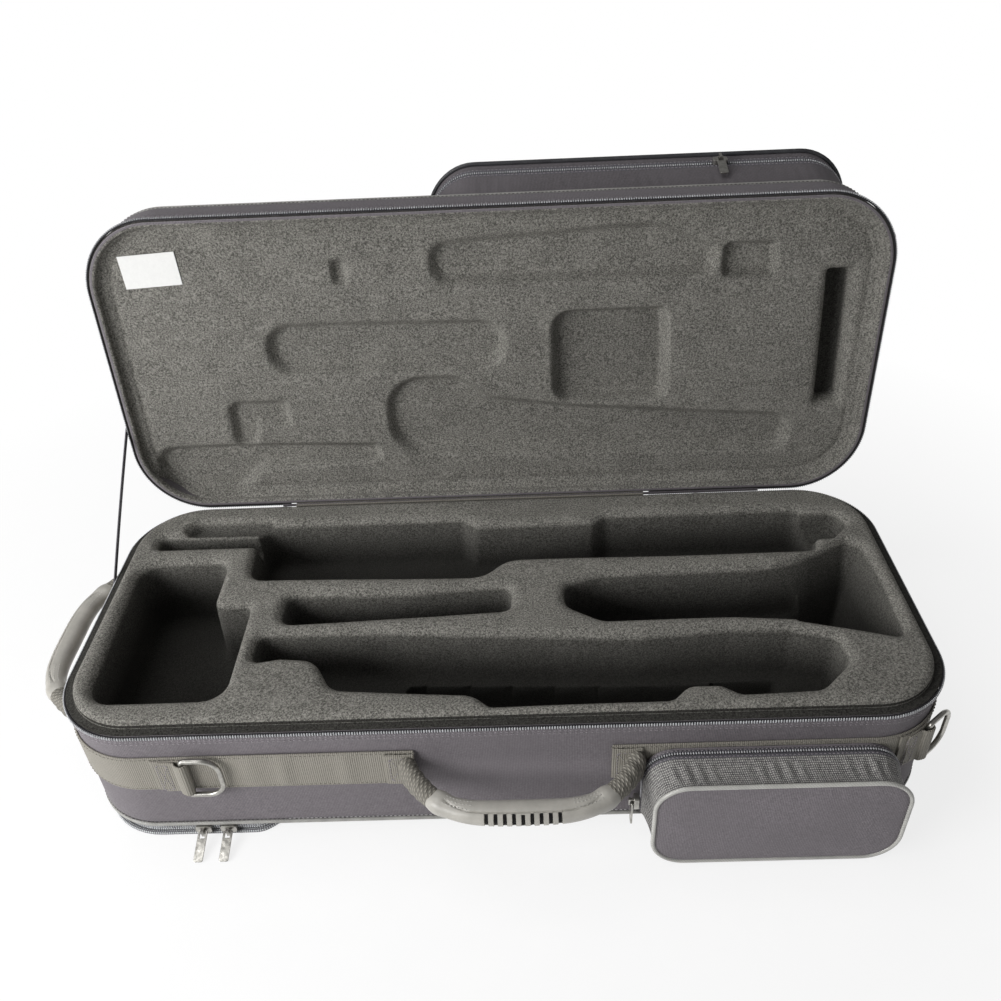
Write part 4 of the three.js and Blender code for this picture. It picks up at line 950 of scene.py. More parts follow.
class BuildLidPlush(bpy.types.Operator):
    """Build the plush liner of the lid, with its rolled edge and pressed dents"""

    bl_idname = "case.lid_plush"
    bl_label = "Lid plush"

    def execute(self, context):
        grid, edge = liner_net(size_mm("plush_cell") * 1.15)
        dent, step = soft_dent(10, 11), soft_dent(9, 10)
        moved, depth = press(grid, [
            (lid_shares([-0.585, 0.48, 0.15], [0.03, 0.48, 0.15], [0.03, 0.63, 0.15], [-0.585, 0.64, 0.15]), dent),
            (lid_shares(
                [-0.14, 0.765, 0.11], [0.56, 0.765, 0.06], [0.565, 0.84, 0.06], [0.41, 0.92, 0.1],
                [-0.14, 0.885, 0.11]), dent),
            (lid_shares(
                [0.165, 0.35, 0.1], [0.46, 0.35, 0.07], [0.45, 0.65, 0.04], [0.165, 0.65, 0.1]), soft_dent(15, 10)),
            (lid_shares(
                [0.59, 0.75, 0.04], [0.72, 0.75, 0.04], [0.715, 0.85, 0.03], [0.59, 0.85, 0.04]), soft_dent(11, 7)),
            (lid_shares([0.865, 0.3, 0.03], [0.935, 0.3, 0.03], [0.92, 0.76, 0.03], [0.85, 0.76, 0.03]), deep_wall(26)),
            (lid_shares(
                [-0.285, 0.17, 0.22], [0.8, 0.14, 0.1], [0.8, 0.26, 0.1], [0.2, 0.32, 0.3], [-0.01, 0.36, 0.2],
                [-0.1, 0.44, 0.2], [-0.285, 0.44, 0.24]), dent),
            (lid_shares(
                [-0.95, 0.04, 0.12], [-0.74, 0.04, 0.14], [-0.66, 0.13, 0.1], [-0.33, 0.15, 0.03], [-0.33, 0.2, 0.03],
                [-0.7, 0.215, 0.2], [-0.95, 0.21, 0.12]), dent),
            (lid_shares(
                [-0.72, 0.22, 0.05], [-0.67, 0.22, 0.03], [-0.65, 0.3, 0.03], [-0.565, 0.3, 0.03],
                [-0.565, 0.375, 0.04], [-0.72, 0.375, 0.07]), step),
            (lid_shares(
                [-0.39, 0.775, 0.02], [-0.36, 0.775, 0.02], [-0.36, 0.845, 0.02], [-0.39, 0.845, 0.02]),
                soft_dent(7, 7)),
        ])
        roll = np.interp(edge, [0, 1, 2, 3, 5, 7.5, 9, 11, 14], [-4.6, -4.2, -2.9, -2.0, -1.0, -0.6, 0.9, 0.8, 0])
        swell = 0.7 * np.sin(moved[..., 0] / 61 + 1) * np.sin(moved[..., 1] / 35) * np.clip((edge - 12) / 20, 0, 1)
        height = LID_FACE_Z + roll + depth + swell
        body = skirted(moved, height, LID_RIM_Z + 40, open_lid)
        plush = make_piece("lid_plush", [body], "plush", "lid", "lid_liner", SMOOTH)
        return {"FINISHED"}


# ---- Cloth shells -----------------------------------------------------------

def shell_net(rim, far, edge, place=as_drawn):
    """The cloth of half a case: a section carried round the outline.

    It runs from the middle of the inside floor over the rim, down the wall, round the edge and to the middle of the
    outer face. The outer wall sways in and out a little.
    """
    height, sign = abs(far - rim), math.copysign(1, far - rim)
    turn = np.linspace(0, math.pi / 2, 8)[1:]
    outer = np.linspace(2.4, height - edge, 24)
    section = [[-60, height - 6], [-30, height - 6], [-11, height - 6], [-6.1, height - 11], [-6, 14], [-6, 3]]
    section += [[-5.4, 1], [-4.2, 0.2], [-2.6, 0], [-1.2, 0.15], [-0.4, 0.8]] + [[0, t] for t in outer]
    section += [[edge * (math.cos(a) - 1), height - edge + edge * math.sin(a)] for a in turn]
    section += [[-20, height], [-36, height], [-60, height]]
    section = np.array(section)
    points, normals = walk(case_line(), OUTLINE_COUNT)
    sway = np.sin(math.pi * np.clip((section[:, 1] - 2) / (height - edge), 0, 1)) * (section[:, 0] > -0.1)
    x, y = points.T
    ripple = 0.45 * (np.sin(x / 31 + y / 19) + np.sin(x / 83 - y / 47 + 2) - 2) / 2
    out = section[:, :1] + sway[:, None] * ripple[None]
    flat = points[None] + out[..., None] * normals[None]
    z = np.broadcast_to(rim + sign * section[:, 1:], out.shape)[..., None]
    return capped(place(np.concatenate([flat, z], 2)))


class BuildCloth(bpy.types.Operator):
    """Build the cloth shells of the base and the lid"""

    bl_idname = "case.cloth"
    bl_label = "Cloth shells"

    def execute(self, context):
        make_piece("base_cloth", [shell_net(RIM_Z, FOOT_Z, 8)], "cloth", "base", "base_shell")
        shell = shell_net(LID_RIM_Z, LID_TOP_Z, 12, open_lid)
        make_piece("lid_cloth", [shell], "cloth", "lid", "lid_shell")
        return {"FINISHED"}


# ---- Plush rims -------------------------------------------------------------

class BuildPlushRims(bpy.types.Operator):
    """Build the edge of the plush that is turned out over the rim of each shell, as far as the zip"""

    bl_idname = "case.plush_rims"
    bl_label = "Plush rims"

    def execute(self, context):
        base = [[-7, 0.1], [-0.6, 0.1], [0.1, 0.25], [-0.3, 0.45], [-5.6, 0.5], [-6.3, 1.2], [-6.6, 4.4], [-7, 4.4]]
        lid = [[-6.3, 5.8], [-5.9, 1.8], [-5, 0.4], [-4, 0.1], [-2.6, 0.1], [-1.8, 0.8], [-3, 2.6]]
        gap = [[-3, 2], [-2.2, 0.7], [-1, 0.3], [-0.2, 0.6], [-1, 1.6]]
        # The base's rim and the lid's gap strip wear painted shade, a dark copy of the plush; the lid's rim wears the
        # plush itself.
        for name, profile, rim, body, finish, place in (
            ("base_plush_rim", base, RIM_Z, "base", "shade", as_drawn),
            ("lid_plush_rim", lid, LID_RIM_Z, "lid", "plush", open_lid),
            ("lid_plush_gap", gap, LID_RIM_Z, "lid", "shade", open_lid),
        ):
            raised = np.array(profile) + (0, rim)
            make_piece(name, [carried(case_line(), raised, OUTLINE_COUNT, True, place)], finish, body)
        return {"FINISHED"}


# ---- Zips, seams and piping -------------------------------------------------

def stitches(line, out, z, closed=False, place=as_drawn, size=1.0):
    """A row of stitches along a flat line: pebbles laid end to end with small gaps."""
    stitch = pebble(size_mm("stitch_length") * size, 0.75, 0.7)
    return row_along(line, size_mm("stitch_pitch") * size, out, z, stitch, closed, place)


def coil(line, out, z, closed=False, place=as_drawn, width=3.0):
    """A row of zip teeth along a flat line: pebbles square to it, a tooth pitch apart."""
    pitch = size_mm("tooth_pitch")
    return row_along(line, pitch, out, z, pebble(pitch * 0.66, width, 1.7), closed, place)


def box_stitch(width, height, pitch=3.6):
    """Stitches round a rectangle and along its two diagonals, flat in x and y and lying on z = 0."""
    half = np.array([width / 2, height / 2])
    corners = half * [[-1, -1], [1, -1], [1, 1], [-1, 1]]
    blocks = []
    for start, end in [(0, 1), (1, 2), (2, 3), (3, 0), (0, 2), (1, 3)]:
        run = corners[end] - corners[start]
        count = max(2, int(np.linalg.norm(run) / pitch))
        share = (np.arange(count)[:, None] + 0.5) / count
        origins = np.column_stack([corners[start] + run * share, np.zeros(count)])
        ahead = run / np.linalg.norm(run)
        axes = np.array([[*ahead, 0], [-ahead[1], ahead[0], 0], [0, 0, 1]])
        blocks.append(scattered(pebble(pitch * 0.66, 0.8, 0.7), origins, axes))
    return blocks


def placed(blocks, place, x, y, z):
    """Blocks moved by [x, y, z] and then put through a frame."""
    return [shift([block[0] + (x, y, z), block[1], block[2]], place) for block in blocks]


def hinge_ends():
    """The two ends of the hinge strip along the back wall."""
    return [box_mm("hinge_tape_base")[corner][0] for corner in (0, 1)]


class BuildMainZip(bpy.types.Operator):
    """Build the zip on both rims: its tapes, strips of painted shade under its coils, the coils and the stitches"""

    bl_idname = "case.main_zip"
    bl_label = "Main zip"

    def execute(self, context):
        left, right = hinge_ends()
        line = front_line(left - 6, right + 6)
        for name, rim, sign, place in (("base", RIM_Z, -1, as_drawn), ("lid", LID_RIM_Z, 1, open_lid)):
            tape_ends, shade_ends = (
                sorted((rim + sign * near, rim + sign * far)) for near, far in ((4.2, 11), (0.2, 3.6)))
            tape = carried(line, soft_box(0.3, 1.5, *tape_ends, 0.3), OUTLINE_COUNT + 100, False, place)
            bed = carried(line, soft_box(0.3, 1.7, *shade_ends, 0.4), OUTLINE_COUNT + 100, False, place)
            rows = [stitches(line, 1.6, rim + sign * up, place=place) for up in (6.0, 8.8)]
            teeth = coil(line, 2.0, rim + sign * 1.8, place=place, width=3.6)
            make_piece(name + "_zip_tape", [tape], "cloth", name)
            # The strip under the coils is painted shade.
            make_piece(name + "_zip_bed", [bed], "core", name)
            make_beads(name + "_zip_teeth", [teeth], "teeth", name)
            make_beads(name + "_zip_stitches", rows, "thread", name)
        return {"FINISHED"}


class BuildEdges(bpy.types.Operator):
    """Build the piping on the rounded edges of the base and the lid, with a seam beside it"""

    bl_idname = "case.edges"
    bl_label = "Edge piping"

    def execute(self, context):
        radius = size_mm("piping_radius")
        for name, out, z, body, place, seam in (
            ("base_piping", -0.858, FOOT_Z + 0.858, "base", as_drawn, (0.35, 4.6)),
            ("lid_piping", -2.03, LID_TOP_Z - 2.03, "lid", open_lid, (0.2, -6.5)),
        ):
            rope = carried(case_line(), circle(out, z, radius, 12), OUTLINE_COUNT, True, place)
            make_piece(name, [rope], "edge piping", body)
            row = stitches(case_line(), seam[0], z + seam[1], True, place, 0.9)
            make_beads(name + "_seam", [row], "seam", body)
        return {"FINISHED"}


# ---- Webbing, loops and rings -----------------------------------------------

def on_corner(angle, centre):
    """A frame that wraps [along, up, out] round the right front corner, along = 0 at the angle."""
    radius = size_mm("corner_radius")

    def place(points):
        along, up, out = np.moveaxis(np.asarray(points, float), -1, 0)
        turned, reach = angle + along / radius, radius + out
        return np.stack([centre[0] + reach * np.cos(turned), centre[1] + reach * np.sin(turned), up], -1)

    return place


def loop_blocks(tail, wire, out, middle, height, thickness=1.6):
    """A loop of webbing: it runs out from its tail, turns round the bar and comes back on top of itself.

    The bar stands at along = 0. Points are [along, up, out], and the turn is an arc of the bar's radius and a half
    thickness round the bar's middle.
    """
    reach = wire + 0.4 + thickness / 2
    bar = out + thickness / 2 + reach
    turn = np.linspace(-math.pi / 2, math.pi * 0.62, 18)
    arc = np.stack([reach * np.cos(turn), bar + reach * np.sin(turn)], 1)
    first = [[-tail * share, out + thickness / 2] for share in (1, 0.6, 0.25)]
    last = [
        [-reach * 1.5, bar + reach * 0.35], [-reach * 2.2, out + thickness * 1.75],
        [-tail * 0.75, out + thickness * 1.55],
    ]
    path = np.insert(smooth_line(np.vstack([first, arc, last]), 70), 1, middle, axis=1)
    return [ribbon(path, (0, 1, 0), height, thickness)]


def ring_path(reach, height, wire, corner):
    """The middle line of a ring in [reach, up]: a straight bar at reach = 0 and two round corners."""
    half = height / 2
    line = [[0, -half, wire + 0.4], [reach, -half, corner], [reach, half, corner], [0, half, wire + 0.4]]
    return walk(rounded_corners(line, 14), 160)[0]


def ring_block(bar, way, up, ring):
    """A round wire bent along the ring's line, which lies in the plane of the way and up vectors at the bar."""
    path, wire = ring
    way, up = np.array(way, float), np.array(up, float)
    points = np.array(bar, float) + path[:, :1] * way + path[:, 1:] * up
    return tube(points, wire, 14, np.cross(way, up), True)


# The band's left run and the left patch end this far before the patch of the frame does. The puckers that the band
# has on the front wall are each a place, a rise and a width.
BAND_COUNT = 560
PATCH_CUT = 14
BAND_PUCKERS = (-178, 1.7, 7), (-126, 1.5, 8), (-206, 0.8, 9)


class BuildWebbing(bpy.types.Operator):
    """Build the webbing band round the walls, its puckers and edge stitches, and the patches under the handles"""

    bl_idname = "case.webbing"
    bl_label = "Webbing band"

    def execute(self, context):
        outline = case_line()
        limit = HALF_WIDTH - size_mm("corner_radius")
        ends = box_mm("front_patch_left")[1][0], box_mm("front_patch_right")[0][0]
        low, high = WEB_LOW_Z, WEB_HIGH_Z
        profile = np.array([
            [0.3, low + 0.3], [0.9, low], [1.7, low + 0.4], [1.9, low + 6], [1.9, WEB_MIDDLE], [1.9, high - 6],
            [1.7, high - 0.4], [0.9, high], [0.3, high - 0.3], [0.3, WEB_MIDDLE],
        ])
        front_left, front_right = outline[:CORNER_POINTS], outline[CORNER_POINTS:2 * CORNER_POINTS]
        runs = [
            np.vstack([[-HALF_LENGTH, limit], front_left, [ends[0] - PATCH_CUT, -HALF_WIDTH]]),
            np.vstack([[ends[1], -HALF_WIDTH], front_right, [HALF_LENGTH, limit]]),
        ]
        blocks, rows = [], []
        for line in runs:
            points, normals = walk(line, BAND_COUNT, False)
            front = points[:, 1] < 5 - HALF_WIDTH
            bumps = [rise * np.exp(-((points[:, 0] - x) / wide) ** 2) for x, rise, wide in BAND_PUCKERS]
            wave = 0.25 * np.sin(np.arange(BAND_COUNT) / 9.0)
            pucker = (sum(bumps) * front + wave)[:, None] * (profile[None, :, 0] > 1.8)
            flat = points[:, None] + (profile[None, :, :1] + pucker[..., None]) * normals[:, None]
            rings = np.concatenate([flat, np.broadcast_to(profile[None, :, 1:], flat.shape[:2] + (1,))], 2)
            blocks.append(capped(rings))
            rows += [stitches(line, 2.0, z, size=0.9) for z in (WEB_LOW_Z + 2.2, WEB_HIGH_Z - 2.2)]
        make_piece("webbing_band", blocks, "webbing", "base")
        make_beads("webbing_stitches", rows, "webbing", "base")
        for wall, place in (("front", on_front), ("side", on_left)):
            for side in ("left", "right"):
                node = f"{wall}_patch_{side}"
                low, high = box_mm(node)
                ends = (low[0], high[0] - PATCH_CUT * (side == "left")) if wall == "front" else (-high[1], -low[1])
                middle, height = (low[2] + high[2]) / 2, high[2] - low[2]
                along = np.linspace(*ends, 24)
                lift = 0.5 * np.sin(math.pi * (along - ends[0]) / (ends[1] - ends[0])) + 3.0
                path = np.stack([along, np.full(24, middle), lift], 1)
                pad = shift(ribbon(path, (0, 1, 0), height, 1.7), place)
                make_piece(node, [pad], "webbing", "base")
                threads = box_stitch(ends[1] - ends[0] - 8, height - 9)
                threads = placed(threads, place, (ends[0] + ends[1]) / 2, middle, 4.2)
                make_beads(node + "_stitches", threads, "thread", "base")
        return {"FINISHED"}


class BuildRings(bpy.types.Operator):
    """Build the two D rings, the small ring of the lid and the loops of webbing that hold them"""

    bl_idname = "case.rings"
    bl_label = "Rings and loops"

    def execute(self, context):
        radius = size_mm("corner_radius")
        centre = np.array([HALF_LENGTH - radius, radius - HALF_WIDTH])
        big, small = (ring_path(29, 42, 2.2, 14), 2.2), (ring_path(13, 24, 1.5, 6), 1.5)
        loop, upright = loop_blocks(26, 2.4, 2.2, WEB_MIDDLE, 36), (0, 0, 1)

        front_bar, side_bar = joint_mm("front_ring_swing"), joint_mm("side_ring_swing")
        angle = math.atan2(side_bar[1] - centre[1], side_bar[0] - centre[0])
        turned = angle + math.radians(88)
        for name, place, along, bar, way in (
            ("front", on_front, front_bar[0], front_bar, (1, 0, 0)),
            ("side", on_corner(angle, centre), 0, side_bar, (math.cos(turned), math.sin(turned), 0)),
        ):
            make_piece(name + "_ring_loop", placed(loop, place, along, 0, 0), "webbing", "base")
            rows = placed(box_stitch(9, 30, 3), place, along - 17, WEB_MIDDLE, 5.6)
            make_beads(name + "_ring_loop_stitches", rows, "thread", "base")
            make_piece(name + "_ring", [ring_block(bar, way, upright, big)], "metal", name + "_d_ring")

        # The small ring lies flat against the lid's corner, its bar this far from the corner's middle
        angle, reach = math.radians(-16.7), 69.9
        place, middle = on_corner(angle, centre), LID_RIM_Z + 25
        loop = placed(loop_blocks(10, 1.5, 0.3, middle, 16), lambda points: open_lid(place(points)), 0, 0, 0)
        make_piece("lid_ring_loop", loop, "webbing", "lid")
        bar = open_lid([centre[0] + reach * math.cos(angle), centre[1] + reach * math.sin(angle), middle])
        turned = angle + math.pi / 2
        origin, way, up = open_lid([[0, 0, 0], [math.cos(turned), math.sin(turned), 0], upright])
        make_piece("lid_ring", [ring_block(bar, way - origin, up - origin, small)], "metal", "lid_loop_ring")
        return {"FINISHED"}


# ---- Handles ----------------------------------------------------------------

# Half the span of a handle, how far it stands out, the grip's share of the span, and the half sizes of its middle
SPAN, BOW, GRIP_SHARE = 92.0, 41.0, 146 / 184
GRIP_ACROSS, GRIP_UP = 10, 8.5
SLOT_WIDTH = 3.0
SLOTS = 7.0 * np.arange(-4, 5)


def bow_line(share):
    """The handle's middle line in [along, out]: out = bow * (1 - |share|^3.8)."""
    share = np.asarray(share, float)
    return np.stack([share * SPAN, BOW * (1 - np.abs(share) ** 3.8)], -1)


def oval(angle, power=0.86):
    """A squarish oval: the sine and cosine keep their sign and are raised to a power."""
    return [np.sign(wave) * np.abs(wave) ** power for wave in (np.cos(angle), np.sin(angle))]


def handle_rings(shares_along, angles, across, up):
    """Rings of points round the bow line. across and up are the half sizes at each station and angle."""
    step = 1e-3
    middle = bow_line(shares_along)
    ahead = bow_line(shares_along + step) - bow_line(shares_along - step)
    ahead /= np.linalg.norm(ahead, axis=1)[:, None]
    side = np.stack([-ahead[:, 1], ahead[:, 0]], 1)
    wave, lift = oval(angles)
    flat = middle[:, None] + (across * wave[None])[..., None] * side[:, None]
    return np.stack([flat[..., 0], up * lift[None], flat[..., 1]], -1)


def grip_size(share):
    """Half sizes of a grip: a swelling middle, a raised collar at each end and a rounded rim."""
    reach = np.abs(share) / GRIP_SHARE
    swell = np.sqrt(1 - np.minimum(reach, 1) ** 2 * (1 - 0.75**2))
    collar = 1.5 * np.exp(-((reach - 0.9) / 0.08) ** 2)
    rim = 1 - 0.35 * np.clip((reach - 0.975) / 0.025, 0, 1) ** 2
    return (GRIP_ACROSS * swell + collar) * rim, (GRIP_UP * swell + collar) * rim


def grip_block():
    """The grip: slots pressed in from the outer side, and a fine line round its upper and lower pads."""
    edge = SLOT_WIDTH / 2
    cuts = (SLOTS[:, None] + [-edge - 0.4, -edge - 0.05, -edge + 0.15, 0, edge - 0.15, edge + 0.05, edge + 0.4]).ravel()
    ends = np.linspace(cuts[-1] + 1.2, GRIP_SHARE * SPAN, 46)
    stations = np.concatenate([-ends[::-1], cuts, ends]) / SPAN
    angles = np.linspace(0, TURN, 64, endpoint=False)
    across, up = grip_size(stations)
    x = stations * SPAN
    slot = (np.abs(x[:, None] - SLOTS[None]).min(1) < edge)[:, None]
    height = np.abs(up[:, None] * oval(angles)[1][None])
    open_side = (height < 6.8) & (np.cos(angles)[None] > 0)
    pressed = np.where(slot & open_side, 4.8, 0.0)
    turn = np.abs(np.degrees(np.arctan2(np.sin(angles), np.cos(angles))))[None]
    track = 62 + 26 * np.clip((np.abs(stations[:, None]) / GRIP_SHARE - 0.5) / 0.32, 0, 1) ** 2
    line = 1.1 * np.exp(-((turn - track) / 3.6) ** 2) * (np.abs(stations[:, None]) / GRIP_SHARE < 0.84)
    rings = handle_rings(stations, angles, across[:, None] - line, up[:, None] - line)
    rings[..., 2] -= pressed
    return capped(rings)


def strap_block(sign):
    """A thick woven handle end from the patch into the grip's collar, with soft creases near its root."""
    share = sign * np.linspace(1.015, GRIP_SHARE - 0.05, 70)
    along = np.clip((1 - np.abs(share)) / (1 - GRIP_SHARE), 0, 1)
    angles = np.linspace(0, TURN, 32, endpoint=False)
    crease = 0.55 * np.sin(along[:, None] * 21 + 1.5 * np.sin(angles)[None]) * (1 - along[:, None]) ** 0.5
    across = (7.6 + 0.4 * along)[:, None] + crease
    up = (15.5 - 8.0 * along**0.7)[:, None] + crease
    return capped(handle_rings(share, angles, across, up))


def dashes(sign):
    """Rows of short raised dashes on the top and bottom of a grip, beside its slots."""
    blocks = []
    share = sign * np.linspace(0.44, 0.66, 8)
    across, up = (size[:, None] for size in grip_size(share))
    for angle in np.radians([72, 92, 112, -92]):
        points, middle = (
            handle_rings(share, np.array([angle]), scale * across, scale * up)[:, 0] for scale in (1, 0))
        out = (points - middle) / np.linalg.norm(points - middle, axis=1)[:, None]
        ahead = np.gradient(points, axis=0)
        ahead /= np.linalg.norm(ahead, axis=1)[:, None]
        axes = np.stack([ahead, np.cross(out, ahead), out], 1)
        blocks.append(scattered(pebble(1.7, 0.7, 0.7), points, axes))
    return blocks


class BuildHandles(bpy.types.Operator):
    """Build the two carrying handles: slotted grips, painted shade in their slots and the woven ends"""

    bl_idname = "case.handles"
    bl_label = "Handles"

    def execute(self, context):
        for wall, place in (("front", on_front), ("side", on_left)):
            pivot = joint_mm(wall + "_handle_swing")
            middle = pivot[0] if wall == "front" else -pivot[1]
            spot = (place, middle, WEB_MIDDLE, 6.5)
            body = wall + "_handle"
            make_piece(body + "_grip", placed([grip_block()], *spot), "grip", body, crease=38)
            # Near-black pebbles on the floors of the slots are painted shade.
            floor = bow_line(SLOTS / SPAN)[:, 1] + grip_size(SLOTS / SPAN)[0] - 4.5
            origins = np.stack([SLOTS, 0 * SLOTS, floor], 1)
            slot_shade = scattered(pebble(3.3, 13.4, 1.2, 8), origins, np.eye(3))
            make_piece(body + "_cores", placed([slot_shade], *spot), "core", body)
            make_beads(body + "_dashes", placed(dashes(1) + dashes(-1), *spot), "piping", body)
            for side, sign in (("left", -1), ("right", 1)):
                node = f"{wall}_strap_{side}"
                strap = make_piece(node, placed([strap_block(sign)], *spot), "strap", None)
                ends = place(np.array([[middle, WEB_MIDDLE, out] for out in (4, 30)])) * MM
                tuple(ends[0])
                tuple(ends[1])
                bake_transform(strap)
        return {"FINISHED"}


# ---- Pockets ----------------------------------------------------------------

def low_run(outline):
    """The lower half of a rounded rectangle, from its left side to its right one."""
    return outline[:len(outline) // 2]


def high_run(outline):
    """The rest of it, from the end of the right lower corner over the top and down to the left."""
    return np.vstack([outline[len(outline) // 2 - 1:], outline[:1]])


def gathered(line, low, high, sunk, count, place, ends=None, wave=0.15):
    """A soft wall along an open line between two heights: it sinks in by sunk * sin(pi * share) and has small gathers.

    With ends, the wall leans over to a second line with as many points.
    """
    points, normals = walk(line, count, False)
    far = points if ends is None else walk(ends, count, False)[0]
    share = np.linspace(0, 1, 9)
    length = np.arange(count) * length_of(line, False) / count
    gather = wave * (np.sin(length / 1.7) * np.sin(length / 23.0 + 1) + 0.6 * np.sin(length / 19.0))
    out = -sunk * np.sin(math.pi * share)[:, None] + gather[None] * np.sin(math.pi * share)[:, None]
    z = low + (high - low) * share
    middle = points[None] * (1 - share)[:, None, None] + far[None] * share[:, None, None]
    height = np.broadcast_to(z[:, None, None], out.shape + (1,))
    outer, inner = (
        np.concatenate([middle + (out - thickness)[..., None] * normals[None], height], 2) for thickness in (0, 2.2))
    section = np.concatenate([outer, inner[::-1]], 0).transpose(1, 0, 2)
    return capped(place(section))


def build_pocket_zip(pocket, body, run, count, place, tapes, bed, teeth, rows):
    """Builds the zip of a pocket along a line: two tapes, painted shade between them, a coil and two rows of stitches.

    Each tape and the shade strip are the inner and outer side and the low and high edge of a strip. The teeth are
    how far out they stand, their height and width, and the rows how far out they stand, their two heights and the
    stitches' size.
    """
    strips = [carried(run, soft_box(*strip, 0.3), count, False, place) for strip in (*tapes, bed)]
    make_piece(pocket + "_zip", strips[:2], "tape", body)
    # The strip under the coil is painted shade.
    make_piece(pocket + "_zip_bed", strips[2:], "core", body)
    out, middle, width = teeth
    make_beads(pocket + "_teeth", [coil(run, out, middle, place=place, width=width)], "teeth", body)
    out, *heights, size = rows
    threads = [stitches(run, out, z, place=place, size=size) for z in heights]
    make_beads(pocket + "_stitches", threads, "thread", body)


class BuildAccessoryPocket(bpy.types.Operator):
    """Build the accessory pocket on the front: woven sides, a zip, a padded panel and its piping"""

    bl_idname = "case.accessory_pocket"
    bl_label = "Accessory pocket"

    def execute(self, context):
        low, high = box_mm("accessory_pocket_backing")
        left, right, foot, top = low[0], high[0], low[2], high[2]
        outline = rectangle(left, right, foot, top, 28)
        panel = rectangle(left + 7, right - 1, foot + 0.5, top - 1, 27)
        back, front, zip_end = 4.9, 39.4, 13.0
        flat = domed(outline, 0.2, 2.2, 4.7, 300, on_front)
        make_piece("accessory_pocket_backing", [flat], "cloth", "base")
        lower = gathered(low_run(outline), back, front, 1.2, 260, on_front, low_run(panel))
        make_piece("accessory_pocket_bottom_gusset", [lower], "gusset", "base")
        upper = gathered(high_run(outline), zip_end + 0.2, front, 1.6, 420, on_front, high_run(panel), 0.8)
        make_piece("accessory_pocket_gusset", [upper], "gusset", "accessory_flap")
        tapes = [(-1.2, 0.1, back, 6.6), (-1.2, 0.1, 9.6, zip_end)]
        build_pocket_zip(
            "accessory_pocket", "base", high_run(outline), 420, on_front, tapes, (-1.4, -0.2, 6.2, 10.0),
            (0.2, 8.1, 2.4), (0.25, 5.6, 12.0, 0.8))
        # The panel wears the cloth lightened as painted light.
        face = domed(panel, size_mm("pocket_swell"), front, 41.4, 420, on_front, 12)
        make_piece("accessory_pocket_panel", [face], "panel cloth", "accessory_flap")
        rope = carried(panel, circle(0.6, 41.0, size_mm("piping_radius"), 12), 420, True, on_front)
        make_piece("accessory_pocket_piping", [rope], "piping", "accessory_flap")
        hem = stitches(panel, 0.2, 38.2, True, on_front, 0.8)
        make_beads("accessory_pocket_hem", [hem], "seam", "accessory_flap")
        return {"FINISHED"}


class BuildLidPocket(bpy.types.Operator):
    """Build the flat pocket on the outside of the lid: its sides, zip, padded panel and dark piping"""

    bl_idname = "case.lid_pocket"
    bl_label = "Lid pocket"

    def execute(self, context):
        left, right = (corner[0] for corner in box_mm("lid_pocket_backing"))
        near, length, depth, corner = 8 - HALF_WIDTH, 230.0, 68.0, 46
        outline = rectangle(left, right, near, near + length, corner)
        turn = near + length - corner
        sides = np.vstack([[left, turn], low_run(outline), [right, turn]])
        hinge = np.vstack([[right, turn], outline[len(outline) // 2:], [left, turn]])

        def place(points):
            """The pocket's front side leans out by 17 mm over its depth, fading to nothing at the hinge side."""
            moved = np.array(points, float)
            lean = 17 * moved[..., 2] / depth
            moved[..., 1] -= lean * (near + length - moved[..., 1]) / length
            moved[..., 2] += LID_TOP_Z
            return open_lid(moved)

        zip_low, zip_high = depth * 0.66, depth * 0.66 + 13
        zip_middle, rim_z = (zip_low + zip_high) / 2, 65.2
        flat = domed(outline, 0.2, 0.3, 2.8, 400, place)
        make_piece("lid_pocket_backing", [flat], "cloth", "lid")
        # The pocket's sides, hinge side and rim wear the cloth darkened as painted shade.
        wall = gathered(sides, 3.0, zip_low, 1.4, 600, place)
        make_piece("lid_pocket_gusset", [wall], "deep cloth", "lid")
        back = gathered(hinge, 3.0, rim_z, 1.0, 400, place)
        make_piece("lid_pocket_hinge_gusset", [back], "deep cloth", "lid")
        tapes = [(-1.2, 0.0, zip_low + 0.3, zip_middle - 1.8), (-1.2, 0.0, zip_middle + 1.8, zip_high)]
        build_pocket_zip(
            "lid_pocket", "lid", sides, 600, place, tapes, (-1.5, -0.3, zip_middle - 2, zip_middle + 2),
            (0.0, zip_middle, 2.6), (0.1, zip_low + 1.6, zip_high - 1.4, 0.9))
        rim = gathered(sides, zip_high + 0.3, rim_z, 0.5, 600, place, wave=0.2)
        make_piece("lid_pocket_rim", [rim], "deep cloth", "lid_pocket_flap")
        face = domed(outline, size_mm("pocket_swell"), 65.4, 67.6, 600, place, 12)
        make_piece("lid_pocket_panel", [face], "cloth", "lid_pocket_flap")
        rope = carried(outline, circle(1.4, 66.0, size_mm("piping_radius"), 12), 700, True, place)
        make_piece("lid_pocket_piping", [rope], "dark piping", "lid_pocket_flap")
        return {"FINISHED"}


